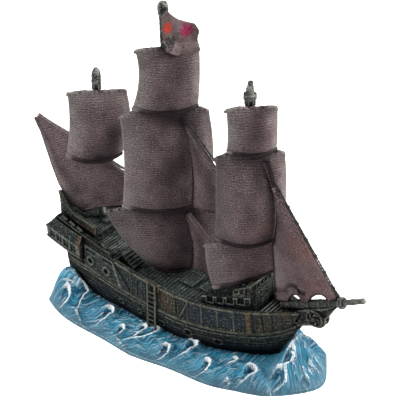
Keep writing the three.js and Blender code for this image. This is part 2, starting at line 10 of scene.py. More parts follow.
import bpy
import numpy as np
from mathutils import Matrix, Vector

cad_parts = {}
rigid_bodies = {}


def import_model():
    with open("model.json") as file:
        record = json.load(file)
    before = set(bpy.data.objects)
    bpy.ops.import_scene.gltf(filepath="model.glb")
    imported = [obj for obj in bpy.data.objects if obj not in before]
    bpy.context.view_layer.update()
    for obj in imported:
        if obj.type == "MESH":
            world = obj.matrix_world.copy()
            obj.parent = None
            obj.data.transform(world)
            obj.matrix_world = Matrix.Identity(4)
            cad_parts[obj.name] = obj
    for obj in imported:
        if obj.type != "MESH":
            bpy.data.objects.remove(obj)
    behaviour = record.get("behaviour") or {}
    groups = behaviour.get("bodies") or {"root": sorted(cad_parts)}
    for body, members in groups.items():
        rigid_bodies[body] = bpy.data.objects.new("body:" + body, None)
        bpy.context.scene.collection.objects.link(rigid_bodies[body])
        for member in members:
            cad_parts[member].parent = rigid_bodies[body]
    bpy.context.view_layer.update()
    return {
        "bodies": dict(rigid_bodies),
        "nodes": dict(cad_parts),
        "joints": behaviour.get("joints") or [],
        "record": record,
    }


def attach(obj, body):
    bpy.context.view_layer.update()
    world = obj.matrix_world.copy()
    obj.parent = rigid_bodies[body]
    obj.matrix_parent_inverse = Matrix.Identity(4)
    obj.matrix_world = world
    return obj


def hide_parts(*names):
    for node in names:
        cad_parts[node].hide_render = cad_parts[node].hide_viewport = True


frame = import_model()
MM = 0.001
BODY = "root"

# ---- driving dimensions, the same as the CAD's --------------------------------------------
KEEL_Z = 4.0
WATER_Z = 9.0
SIDE_Z, LEVEL_TOP_Z = 36.0, 35.0
HALF_BEAM = 26.2
X_MID = 5.0
BLOCK_TOP_Z = 45.0
BULWARK_THICK = 1.6
QUARTER_FRONT_X, QUARTER_BACK_X = -38.0, -92.0
POOP_FRONT_X, POOP_BACK_X, POOP_Z = -60.0, -88.6, 53.0
POOP_HALF = (15.2, 17)          # half breadth at the back and at the front
CABIN_X = (28.0, 57.0)
MAIN_X, FORE_X, MIZZEN_X = -16.5, 45.0, -70.0
MAST_R = (2.2, 1.5)
YARD_OUT = 3.4
SAIL_BACK = 4.8
SAIL_THICK = 1.8
BASE_LENGTH, BASE_WIDTH, BASE_BOW_WIDTH = 194.0, 95.0, 73.0
BRACE = math.radians(46)
LATEEN_SWING = math.radians(16)
ALONG = np.array([math.sin(BRACE), math.cos(BRACE)])
AHEAD = np.array([math.cos(BRACE), -math.sin(BRACE)])
STRAKE = 2.9                    # width of one hull plank
FAR = 99                        # past the end of any band
WEAVE = 1.5                     # from one ridge of the coarse cloth to the next


def lerp(a, b, t):
    return a + (b - a) * t


def smooth(t):
    t = np.clip(t, 0, 1)
    return t * t * (3 - 2 * t)


def bump(x, centre, width):
    return np.exp(-(((x - centre) / width) ** 2))


def band(x, low, high, edge=0.3):
    """1 between low and high, falling to 0 over edge on both sides."""
    return smooth((x - low) / edge + 0.5) * smooth((high - x) / edge + 0.5)


def groove(x, pitch, width, shift=0.0):
    """1 along the lines that repeat every pitch, narrow as width."""
    away = np.abs(((x - shift) / pitch + 0.5) % 1 - 0.5) * pitch
    return np.exp(-((away / width) ** 2))


def facing(part, least=0.5):
    """1 where a part of the normal is well over least, and 0 below it."""
    return smooth((part - least) / 0.3)


def curve3(c, t):
    """The parabola through the three values of c at t = 0, 0.5 and 1."""
    a, b, d = c
    return a + (4 * b - 3 * a - d) * t + (2 * a + 2 * d - 4 * b) * t * t


def hill(x, y, cx, cy, rx, ry):
    """1 at (cx, cy), falling off over rx and ry."""
    return np.exp(-(((x - cx) / rx) ** 2) - ((y - cy) / ry) ** 2)


# ---- noise ----------------------------------------------------------------------------------
def value_noise(p, size, seed=0):
    q = np.asarray(p, float) / size + seed * 17.31
    cell = np.floor(q).astype(np.int64)
    f = q - cell
    f = f * f * (3 - 2 * f)

    def corner(dx, dy, dz):
        """A repeatable random number, -1 to 1, for one corner of the cell."""
        n = (cell[..., 0] + dx) * 73856093 ^ (cell[..., 1] + dy) * 19349663
        n = n ^ (cell[..., 2] + dz) * 83492791
        n = (n ^ (n >> 13)) * 1274126177 & 0x7FFFFFFF
        n = (n ^ (n >> 15)) * 668265263 & 0x7FFFFFFF
        return (n & 0xFFFF) / 32767.5 - 1

    x, y, z = f[..., 0], f[..., 1], f[..., 2]
    low = lerp(lerp(corner(0, 0, 0), corner(1, 0, 0), x), lerp(corner(0, 1, 0), corner(1, 1, 0), x), y)
    high = lerp(lerp(corner(0, 0, 1), corner(1, 0, 1), x), lerp(corner(0, 1, 1), corner(1, 1, 1), x), y)
    return lerp(low, high, z)


def fbm(p, size, octaves=3, seed=0):
    total, gain = 0.0, 1.0
    for k in range(octaves):
        total = total + gain * value_noise(p, size / 2**k, seed + k * 3)
        gain *= 0.5
    return total / 1.6


def stack(*columns):
    """Columns of coordinates as an array of points."""
    return np.stack(np.broadcast_arrays(*columns), -1).astype(float)


# ---- shells: each is (points, quads, marks) and is one closed surface ----------------------
def corners(points, quads):
    return (points[quads[:, k]] for k in range(4))


def vertex_normals(points, quads):
    a, b, c, d = corners(points, quads)
    face = np.cross(c - a, d - b)
    normals = np.zeros_like(points)
    for k in range(4):
        for axis in range(3):
            normals[:, axis] += np.bincount(quads[:, k], face[:, axis], len(points))
    return normals / np.maximum(np.linalg.norm(normals, axis=1, keepdims=True), 1e-12)


def facing_out(points, quads):
    """The quads, turned over if the shell is inside out."""
    a, b, c, d = corners(points, quads)
    volume = np.einsum("ij,ij->i", a, np.cross(b, c)).sum()
    volume += np.einsum("ij,ij->i", a, np.cross(c, d)).sum()
    return quads[:, ::-1] if volume < 0 else quads


def relaxed(points, quads, times):
    """Moves each point halfway to the mean of its neighbours, so hard edges soften."""
    for _ in range(times):
        total, count = np.zeros_like(points), np.zeros(len(points))
        for k in range(4):
            a, b = quads[:, k], quads[:, (k + 1) % 4]
            count += np.bincount(a, minlength=len(points))
            for axis in range(3):
                total[:, axis] += np.bincount(a, points[b, axis], len(points))
        points = lerp(points, total / count[:, None], 0.5)
    return points


def box_grid(nu, nv, nw):
    """The surface of a box cut into nu*nv*nw cells: parameters 0..1 of each point, and quads."""
    index = -np.ones((nu + 1, nv + 1, nw + 1), np.int64)
    edge = np.zeros(index.shape, bool)
    edge[[0, -1]] = edge[:, [0, -1]] = edge[:, :, [0, -1]] = True
    index[edge] = np.arange(edge.sum())
    uvw = np.argwhere(edge) / np.array([nu, nv, nw])
    quads = []
    for axis in range(3):
        for end in (0, -1):
            face = np.take(index, end, axis)
            q = np.stack([face[:-1, :-1], face[1:, :-1], face[1:, 1:], face[:-1, 1:]], -1).reshape(-1, 4)
            quads.append(q[:, ::-1] if (end == 0) == (axis != 1) else q)
    return uvw, np.concatenate(quads)


def warp(cells, place, relief=None, paint=None, soften=1, grain=0.07, turn=None):
    """A box cut into cells whose points go to place(u, v, w), then move out by relief(p, n, uvw)."""
    uvw, quads = box_grid(*cells)
    points = stack(*place(*uvw.T))
    if turn is not None:
        points = turn(points)
    quads = facing_out(points, quads)
    points = relaxed(points, quads, soften)
    normals = vertex_normals(points, quads)
    push = grain * fbm(points, 1.6, 2, 3)
    if relief is not None:
        push = push + relief(points, normals, uvw)
    marks = paint(points, normals, uvw) if paint else {}
    return points + normals * push[:, None], quads, marks


def block(x, y, z, cell=0.5, **more):
    """A soft-edged block between the limits x, y and z, each a pair."""
    cells = [max(2, round(abs(b - a) / cell)) for a, b in (x, y, z)]
    return warp(cells, lambda u, v, w: (lerp(*x, u), lerp(*y, v), lerp(*z, w)), **more)


def ring_skin(rings, first, last):
    """Joins rings of points, an (n, sides, 3) array, and closes them with a fan at each end."""
    n, sides = rings.shape[:2]
    rows = np.arange(n * sides).reshape(n, sides)
    after = np.roll(rows, -1, 1)
    quads = [np.stack([rows[:-1], after[:-1], after[1:], rows[1:]], -1).reshape(-1, 4)]
    points = np.vstack([rings.reshape(-1, 3), first, last])
    for row, tip in ((rows[0], n * sides), (rows[-1], n * sides + 1)):
        fan = np.stack([np.full(sides // 2, tip), row[::2], row[1::2], np.roll(row, -2)[::2]], -1)
        quads.append(fan if tip == n * sides + 1 else fan[:, ::-1])
    quads = facing_out(points, np.concatenate(quads))
    return points, quads, vertex_normals(points, quads)


def tube(path, radius, sides=14, grain=0.06, marks=None):
    """A round bar along path, an (n, 3) array; radius is a number or one per point."""
    path = np.asarray(path, float)
    n = len(path)
    radius = np.broadcast_to(radius, n)
    ahead = np.gradient(path, axis=0)
    ahead /= np.linalg.norm(ahead, axis=1, keepdims=True)
    across = np.eye(3)[np.argmin(np.abs(ahead.mean(0)))]
    side = np.cross(ahead, across)
    side /= np.linalg.norm(side, axis=1, keepdims=True)
    up = np.cross(ahead, side)
    angle = np.linspace(0, 2 * np.pi, sides, endpoint=False)
    ring = side[:, None] * np.cos(angle)[None, :, None] + up[:, None] * np.sin(angle)[None, :, None]
    points = path[:, None] + ring * radius[:, None, None]
    points, quads, normals = ring_skin(points, path[0], path[-1])
    points = points + normals * (grain * fbm(points, 1.4, 2, 9))[:, None]
    values = {}
    for key, value in (marks or {}).items():
        values[key] = np.append(np.repeat(np.broadcast_to(value, n), sides), [0, 0])
    return points, quads, values


def bar(a, b, radius, steps=None, **more):
    """A straight round bar from a to b; radius is a function of 0..1 or a number."""
    a, b = np.array(a, float), np.array(b, float)
    t = np.linspace(0, 1, steps or max(6, int(np.linalg.norm(b - a) / 0.8)))
    return tube(a + (b - a) * t[:, None], radius(t) if callable(radius) else radius, **more)


def turned(profile, centre, axis=(0, 0, 1), sides=40, step=0.35, **more):
    """A turned shell: profile is a list of [radius, height] along axis from centre."""
    r, h = np.array(profile, float).T
    length = np.concatenate([[0], np.cumsum(np.hypot(np.diff(r), np.diff(h)))])
    t = np.unique(np.concatenate([np.arange(0, length[-1], step), length]))
    r, h = np.interp(t, length, r), np.interp(t, length, h)
    h = h + np.arange(len(h)) * 1e-6
    axis = np.array(axis, float) / np.linalg.norm(axis)
    side = np.cross(axis, [0, 1, 0] if abs(axis[1]) < 0.9 else [1, 0, 0])
    side /= np.linalg.norm(side)
    up = np.cross(axis, side)
    angle = np.linspace(0, 2 * np.pi, sides, endpoint=False)
    ring = np.cos(angle)[:, None] * side + np.sin(angle)[:, None] * up
    centre = np.array(centre, float)
    points = centre + h[:, None, None] * axis + r[:, None, None] * ring[None]
    points, quads, normals = ring_skin(points, centre + axis * h[0], centre + axis * h[-1])
    push = more.get("grain", 0.12) * fbm(points, 2.0, 3, 5)
    if "relief" in more:
        push = push + more["relief"](points, normals)
    marks = more["paint"](points) if "paint" in more else {}
    return points + normals * push[:, None], quads, marks


def piece(node, shells, finish):
    """Joins the shells into one visible piece that stands for a CAD node."""
    material, slot = finish
    keys = sorted({key for shell in shells for key in shell[2]})
    points, quads, marks, start = [], [], {key: [] for key in keys}, 0
    for p, q, values in shells:
        points.append(p)
        quads.append(q + start)
        start += len(p)
        for key in keys:
            shape = (len(p), 3) if key == "cloth" else len(p)
            marks[key].append(np.broadcast_to(values.get(key, 0.0), shape))
    points, quads = np.concatenate(points) * MM, np.concatenate(quads)
    mesh = bpy.data.meshes.new("painted_" + node)
    mesh.vertices.add(len(points))
    mesh.vertices.foreach_set("co", np.ascontiguousarray(points, dtype=np.float32).ravel())
    mesh.loops.add(quads.size)
    mesh.loops.foreach_set("vertex_index", np.ascontiguousarray(quads, dtype=np.int32).ravel())
    mesh.polygons.add(len(quads))
    mesh.polygons.foreach_set("loop_start", np.arange(0, quads.size, 4, dtype=np.int32))
    mesh.update(calc_edges=True)
    mesh.polygons.foreach_set("use_smooth", np.ones(len(quads), bool))
    for key in keys:
        values = np.concatenate(marks[key]).astype(np.float32)
        kind = "FLOAT_VECTOR" if key == "cloth" else "FLOAT"
        field = mesh.attributes.new(key, kind, "POINT")
        field.data.foreach_set("vector" if key == "cloth" else "value", values.ravel())
    mesh.materials.append(material)
    thing = bpy.data.objects.new("painted_" + node, mesh)
    bpy.context.scene.collection.objects.link(thing)
    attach(thing, BODY)
    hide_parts(node)
    return thing


# ---- materials ------------------------------------------------------------------------------
def rgb(red, green, blue):
    """A paint colour as seen on screen, 0 to 255, as a linear colour."""
    def linear(c):
        c /= 255
        return c / 12.92 if c <= 0.04045 else ((c + 0.055) / 1.055) ** 2.4
    return linear(red), linear(green), linear(blue), 1.0


class Paint:
    """A small node-graph builder around one Principled shader."""

    def __init__(self, name):
        self.material = bpy.data.materials.new(name)
        self.material.use_nodes = True
        self.tree = self.material.node_tree
        self.shader = next(n for n in self.tree.nodes if n.type == "BSDF_PRINCIPLED")
        place = self.add("TexCoord", {}, "Object")
        self.mm = self.vector("SCALE", place, 1000.0)

    def add(self, kind, values, out=0, **settings):
        node = self.tree.nodes.new("ShaderNode" + kind)
        for key, value in settings.items():
            setattr(node, key, value)
        for key, value in values.items():
            if isinstance(value, bpy.types.NodeSocket):
                self.tree.links.new(value, node.inputs[key])
            else:
                node.inputs[key].default_value = value
        return node.outputs[out]

    def vector(self, operation, a, b):
        values = {0: a, 3: b} if operation == "SCALE" else {0: a, 1: b}
        return self.add("VectorMath", values, operation=operation)

    def math(self, operation, a, b=0.0, clamp=False):
        return self.add("Math", {0: a, 1: b}, operation=operation, use_clamp=clamp)

    def times(self, a, b):
        return self.math("MULTIPLY", a, b)

    def plus(self, a, b):
        return self.math("ADD", a, b)

    def up_to_one(self, a, b):
        """The sum of two masks, stopped at 1."""
        return self.math("ADD", a, b, clamp=True)

    def mark(self, name, out="Fac"):
        return self.add("Attribute", {}, out, attribute_name=name)

    def noise(self, size, place=None, detail=3.0, stretch=None, distortion=0.0):
        place = self.mm if place is None else place
        if stretch is not None:
            place = self.vector("MULTIPLY", place, stretch)
        return self.add("TexNoise", {"Vector": place, "Scale": 1 / size, "Detail": detail,
                                     "Distortion": distortion}, "Fac")

    def spread(self, value, low, high, to_low=0.0, to_high=1.0):
        return self.add("MapRange", {"Value": value, "From Min": low, "From Max": high,
                                     "To Min": to_low, "To Max": to_high})

    def mix(self, factor, a, b):
        return self.add("Mix", {0: factor, 6: a, 7: b}, 2, data_type="RGBA")

    def coat(self, colour, tone, mask, strength=None):
        """Lays one more paint colour over the others where its mask shows."""
        if strength is not None:
            mask = self.times(mask, strength)
        return self.mix(mask, colour, rgb(*tone))

    def edges(self, low=0.51, high=0.56):
        return self.spread(self.add("NewGeometry", {}, "Pointiness"), low, high)

    def hollows(self, low=0.49, high=0.44):
        return self.spread(self.add("NewGeometry", {}, "Pointiness"), low, high)

    def shade(self, distance, low=0.25, high=0.85):
        """Painted shade from ambient occlusion: 1 far into a corner, 0 in the open."""
        open_sky = self.add("AmbientOcclusion", {"Distance": distance * MM}, "AO", samples=6)
        return self.spread(open_sky, low, high, 1.0, 0.0)

    def finish(self, colour, roughness, height, depth=0.12, gloss=0.15):
        self.tree.links.new(colour, self.shader.inputs["Base Color"])
        self.tree.links.new(roughness, self.shader.inputs["Roughness"])
        bumped = self.add("Bump", {"Height": height, "Distance": depth * MM, "Strength": 0.8}, "Normal")
        self.tree.links.new(bumped, self.shader.inputs["Normal"])
        self.shader.inputs["Specular IOR Level"].default_value = gloss
        return self.material


def resin_paint(name, base, second, deep, edge, blue=(26, 38, 54), ochre=(104, 70, 36), wear=0.9):
    """Dark base coat, dry-brushed on raised edges, with a dark wash in the hollows and painted shade in the
    corners.
    """
    g = Paint(name)
    blotch = g.noise(5.0)
    fine = g.noise(0.8, detail=4.0)
    brush = g.noise(1.5, stretch=(0.45, 0.45, 1.6), detail=4.0)
    specks = g.noise(0.75, stretch=(1.0, 1.0, 1.3))
    colour = g.mix(g.spread(blotch, 0.35, 0.65), rgb(*base), rgb(*second))
    colour = g.coat(colour, blue, g.mark("blue"), g.spread(fine, 0.25, 0.6))
    colour = g.coat(colour, ochre, g.mark("ochre"), g.spread(brush, 0.3, 0.6))
    colour = g.coat(colour, edge, g.spread(brush, 0.54, 0.7), 0.28)
    raised = g.times(g.times(g.edges(), g.spread(fine, 0.3, 0.6)), wear)
    brushed = g.times(g.mark("light"), g.spread(brush, 0.36, 0.6))
    colour = g.coat(colour, edge, g.up_to_one(raised, brushed))
    colour = g.coat(colour, (152, 160, 152), g.spread(specks, 0.61, 0.67), 0.65)
    # Dark wash in the hollows, the dark marks and dark pits, with painted shade from ambient occlusion in the
    # corners.
    wash_and_shade = g.up_to_one(g.times(g.hollows(), 0.8), g.mark("dark"))
    wash_and_shade = g.up_to_one(wash_and_shade, g.times(g.spread(specks, 0.46, 0.34), 0.75))
    wash_and_shade = g.up_to_one(wash_and_shade, g.times(g.shade(7.0, 0.3, 0.95), 0.9))
    colour = g.coat(colour, deep, wash_and_shade)
    height = g.plus(g.times(fine, 0.7), g.times(brush, 0.8))
    return g.finish(colour, g.spread(fine, 0.3, 0.7, 0.45, 0.75), height, 0.16)


def sail_cloth():
    """Coarse moulded weave, pale on its ridges and dark between them."""
    g = Paint("sail_cloth")
    cloth = g.mark("cloth", "Vector")
    threads = g.noise(0.55, cloth, 3.0, (0.75, 1.3, 1.0))
    turns = g.times(g.add("SeparateXYZ", {"Vector": cloth}, "Y"), 2 * math.pi / WEAVE)
    rows = g.math("SINE", g.plus(turns, g.times(g.noise(3.0, cloth, 2.0), 7.0)))
    blotch = g.noise(9.0, detail=2.0)
    fine = g.noise(0.6)
    colour = g.mix(g.spread(blotch, 0.35, 0.65), rgb(72, 57, 61), rgb(106, 88, 92))
    colour = g.coat(colour, (112, 72, 66), g.mark("red"))
    # A pale painted highlight along the sails' edges, then the light mark: grey-green paint and painted
    # highlights.
    colour = g.coat(colour, (196, 182, 176), g.mark("rim"), g.spread(threads, 0.3, 0.55, 0.4, 1.0))
    colour = g.coat(colour, (128, 127, 122), g.mark("light"), g.spread(threads, 0.25, 0.6))
    weave = g.plus(g.spread(threads, 0.3, 0.7, -0.5, 0.5), g.times(rows, 0.2))
    colour = g.coat(colour, (164, 148, 151), g.spread(weave, 0.05, 0.5), 0.75)
    colour = g.coat(colour, (38, 26, 28), g.spread(weave, -0.03, -0.5), 0.85)
    colour = g.coat(colour, (176, 166, 160), g.spread(g.noise(0.9, detail=4.0), 0.6, 0.68), 0.5)
    colour = g.coat(colour, (150, 138, 134), g.edges(0.505, 0.55), 0.5)
    # Painted shade: the hollows, the sails' dark marks and the corners darken the cloth.
    wash_and_shade = g.up_to_one(g.times(g.hollows(0.495, 0.45), 0.5), g.mark("dark"))
    wash_and_shade = g.up_to_one(wash_and_shade, g.times(g.shade(10.0, 0.3, 0.95), 0.8))
    colour = g.coat(colour, (28, 18, 21), wash_and_shade)
    height = g.plus(weave, g.times(fine, 0.5))
    return g.finish(colour, g.spread(fine, 0.3, 0.7, 0.6, 0.85), height, 0.24)


def sea_paint():
    """Blue water in streaks that follow the current, with white foam on the crests."""
    g = Paint("sea_paint")
    current = g.mark("cloth", "Vector")
    fine = g.noise(0.7, detail=4.0)
    broad = g.noise(8.0)
    streaks = g.noise(1.0, current, 4.0, (1.15, 0.2, 0.0))
    wisps = g.noise(1.0, current, 5.0, (0.6, 0.1, 0.0), 0.5)
    colour = g.mix(g.spread(broad, 0.35, 0.65), rgb(4, 96, 130), rgb(16, 140, 172))
    colour = g.coat(colour, (8, 62, 98), g.spread(streaks, 0.48, 0.36), 0.8)
    colour = g.coat(colour, (118, 190, 214), g.spread(streaks, 0.52, 0.68), 0.65)
    # Darker water in the hollows under the curls, and painted shade on the water beside the hull.
    colour = g.coat(colour, (12, 68, 96), g.mark("deep"))
    colour = g.coat(colour, (84, 106, 114), g.mark("rim"), g.spread(fine, 0.35, 0.65, 0.3, 0.9))
    raised = g.times(g.edges(0.505, 0.55), g.spread(fine, 0.35, 0.6))
    colour = g.coat(colour, (206, 226, 234), raised, 0.85)
    # Painted shade in the hollows and corners of the water.
    wash_and_shade = g.up_to_one(g.times(g.hollows(), 0.5), g.times(g.shade(4.0), 0.5))
    colour = g.coat(colour, (8, 50, 74), wash_and_shade)
    lines = g.times(g.spread(wisps, 0.55, 0.66), g.mark("light"))
    strands = g.plus(g.spread(streaks, 0.35, 0.65, -0.3, 0.2), g.spread(fine, 0.3, 0.7, -0.2, 0.2))
    foam = g.spread(g.plus(g.mark("foam"), strands), 0.42, 0.74)
    colour = g.coat(colour, (240, 246, 248), g.up_to_one(foam, g.times(lines, 0.42)))
    height = g.plus(g.times(fine, 0.6), g.times(streaks, 1.6))
    return g.finish(colour, g.spread(fine, 0.3, 0.7, 0.3, 0.55), height, 0.5, 0.3)


def flag_cloth():
    """Faded cloth with three plain painted patches."""
    g = Paint("flag_cloth")
    blotch = g.noise(3.0)
    fine = g.noise(0.7, detail=4.0)
    threads = g.noise(1.0, stretch=(0.6, 0.6, 2.2))
    colour = g.mix(g.spread(blotch, 0.3, 0.7), rgb(96, 80, 82), rgb(122, 104, 104))
    ragged = g.spread(g.noise(1.6, detail=4.0), 0.3, 0.7, -0.4, 0.4)
    for mark, tone in (("soot", (34, 38, 34)), ("orange", (205, 62, 40)), ("magenta", (150, 28, 76))):
        colour = g.coat(colour, tone, g.spread(g.plus(g.mark(mark), ragged), 0.45, 0.65))
    colour = g.coat(colour, (160, 146, 142), g.spread(threads, 0.5, 0.7), 0.35)
    colour = g.coat(colour, (34, 26, 28), g.shade(5.0), 0.6)
    return g.finish(colour, g.spread(fine, 0.3, 0.7, 0.55, 0.8), g.plus(fine, threads), 0.2)


# Each finish is a material and the record's slot for it.
SAIL = sail_cloth(), "sail_paint"
SEA = sea_paint(), "sea_paint"
FLAG = flag_cloth(), "flag_paint"
HULL = resin_paint("hull_paint", (5, 10, 13), (15, 23, 25), (1, 2, 3), (118, 126, 116)), "hull_paint"
TRIM = resin_paint("trim_paint", (18, 23, 22), (32, 37, 32), (1, 2, 2), (110, 113, 98), wear=0.75)
TRIM = TRIM, "trim_paint"
DECK = resin_paint("deck_paint", (36, 43, 43), (58, 66, 65), (2, 3, 4), (118, 124, 118)), "deck_paint"
SPAR = resin_paint("spar_paint", (32, 35, 35), (50, 52, 50), (6, 7, 7), (164, 164, 156)), "spar_paint"


# ---- hull form ------------------------------------------------------------------------------
def stem_x(z):
    return 70 + 0.55 * (z - WATER_Z)


def stern_x(z):
    return -79 - 0.19 * (z - WATER_Z)


def rail_z(x):
    return 42 + 0.0016 * (x - 12) ** 2


def wale_z(x):
    return 26 + 0.001 * (np.maximum(x, -60) - 10) ** 2 + np.where(x > 60, 0.014 * (x - 60) ** 2, 0)


def deck_z(x):
    return rail_z(x) - 7.5


def block_top_z(x):
    return np.minimum(deck_z(x), BLOCK_TOP_Z)


def ledge_z(x):
    return 50 + (QUARTER_FRONT_X - x) * 0.115


def quarter_z(x):
    return 46.5 + (QUARTER_FRONT_X - x) * 0.06


def roof_z(x):
    return lerp(47.5, 53.4, (x - CABIN_X[0]) / (CABIN_X[1] - CABIN_X[0]))


def hull_half(x, z):
    full = HALF_BEAM * (1 - 0.14 * np.clip((26 - z) / 22, 0, 1) ** 2)
    ahead = np.maximum(x - X_MID, 0) / (stem_x(z) - X_MID)
    astern = np.maximum(X_MID - x, 0) / 85
    return np.where(x > X_MID, np.maximum(0.9, full * (1 - ahead**2)), full * (1 - 0.16 * astern**3))


def side_half(x):
    """Half breadth of the hull at the height of its upper side."""
    return hull_half(x, SIDE_Z)


def cabin_half(x):
    return side_half(x) - BULWARK_THICK - 0.9


def ring(x, z, cx, cz, radius, width=0.7):
    return bump(np.hypot(x - cx, z - cz), radius, width)


def disc(x, z, cx, cz, radius):
    return smooth((radius - np.hypot(x - cx, z - cz)) / 0.5)


def plank_joints(along, row, length):
    """Butt joints across planks, shifted from row to row."""
    shift = np.abs(np.sin(np.floor(row) * 12.9898)) * length
    return groove(along + shift, length, 0.3)


# Round openings in the side: x, z, radius.
SCUTTLES = [(20, 17.5, 2.7), (39, 16.5, 2.7), (0, 16.0, 2.4), (-18, 16.5, 1.7), (-33, 17.5, 1.7)]


def hull():
    def place(u, v, w):
        level = lerp(KEEL_Z, LEVEL_TOP_Z, w)
        z = level + w * (block_top_z(lerp(stern_x(LEVEL_TOP_Z), stem_x(42), u)) - LEVEL_TOP_Z)
        x = lerp(stern_x(z), stem_x(z), u)
        return x, (2 * v - 1) * hull_half(x, z), z

    def side_of(n):
        return facing(np.abs(n[:, 1]), 0.25)

    def relief(p, n, uvw):
        x, y, z = p.T
        below = wale_z(x) - z
        seams = groove(below, STRAKE, 0.3, 1.4)
        joints = plank_joints(x, (below - 1.4) / STRAKE, 31) * (1 - seams)
        push = 0.5 * band(below, 2.8, 4.4) + 0.25 * band(below, 7.2, 8.4)
        push = push - 0.3 * seams - 0.25 * joints + 0.12 * fbm(stack(x / 5, z * 1.6, y * 0), 1.0, 3, 4)
        for cx, cz, r in SCUTTLES:
            push = push + 0.9 * ring(x, z, cx, cz, r) - 1.3 * disc(x, z, cx, cz, r * 0.7)
        return side_of(n) * push

    def paint(p, n, uvw):
        x, z = p[:, 0], p[:, 2]
        below = wale_z(x) - z
        # Dark plank seams and scuttles; the hull also darkens and turns blue towards the waterline, painted
        # shade.
        dark = 0.75 * groove(below, STRAKE, 0.35, 1.4) + 0.65 * smooth((20 - z) / 9)
        light = 0.5 * band(below, 2.9, 4.3, 0.2)
        speck = smooth(fbm(p, 0.9, 2, 21) * 2 - 0.3)
        for cx, cz, r in SCUTTLES:
            dark = dark + disc(x, z, cx, cz, r * 0.8)
            light = light + ring(x, z, cx, cz, r, 0.5) * (0.05 + 0.6 * speck)
        blue = smooth((22 - z) / 9) * 0.9
        return {"dark": np.clip(dark, 0, 0.9), "light": np.clip(light, 0, 1), "blue": blue}

    piece("hull", [warp((330, 22, 110), place, relief, paint, soften=0)], HULL)


def wale(side, name):
    def place(u, v, w):
        x = lerp(-78, 84, u)
        z = wale_z(x) + lerp(-0.9, 0.9, w)
        crown = 1 - np.abs(2 * w - 1) ** 4
        reach = v * (0.9 + 0.6 * crown)
        return x, side * (hull_half(x, z) + reach + 0.1 + np.where(x > 74, 0.3, 0)), z

    def relief(p, n, uvw):
        return 0.12 * fbm(stack(p[:, 0] / 4, p[:, 2], p[:, 1] * 0), 1.0, 3, 6)

    def paint(p, n, uvw):
        wear_and_highlight = smooth(0.5 + fbm(p, 5, 3, 12))
        return {"light": 0.15 + 0.55 * wear_and_highlight, "ochre": 0.2 * smooth(fbm(p, 14, 2, 3))}

    piece(f"wale_{name}", [warp((340, 3, 8), place, relief, paint)], TRIM)


# ---- bulwarks -------------------------------------------------------------------------------
# Upright frames, the bow post, narrow slots and the ends of the ochre panel, all at x.
FRAMES = (50.0, 40.2, 30.1)
POST_X = 58.4
SLOTS = (12.1, -11.8, -18.4)
BRACE_FOOT_X, BRACE_SLOPE = 3.2, 0.42
OCHRE_X = (-1.7, 10.5)
BOW_BLOCK, BLOCK_START_X = 5.4, POST_X + 2.6
BOARD = 2.35                    # width of one upright board


def brace_away(x, z):
    return x - BRACE_FOOT_X - BRACE_SLOPE * z


def behind_post(x):
    return smooth((57.5 - x) / 1.0)


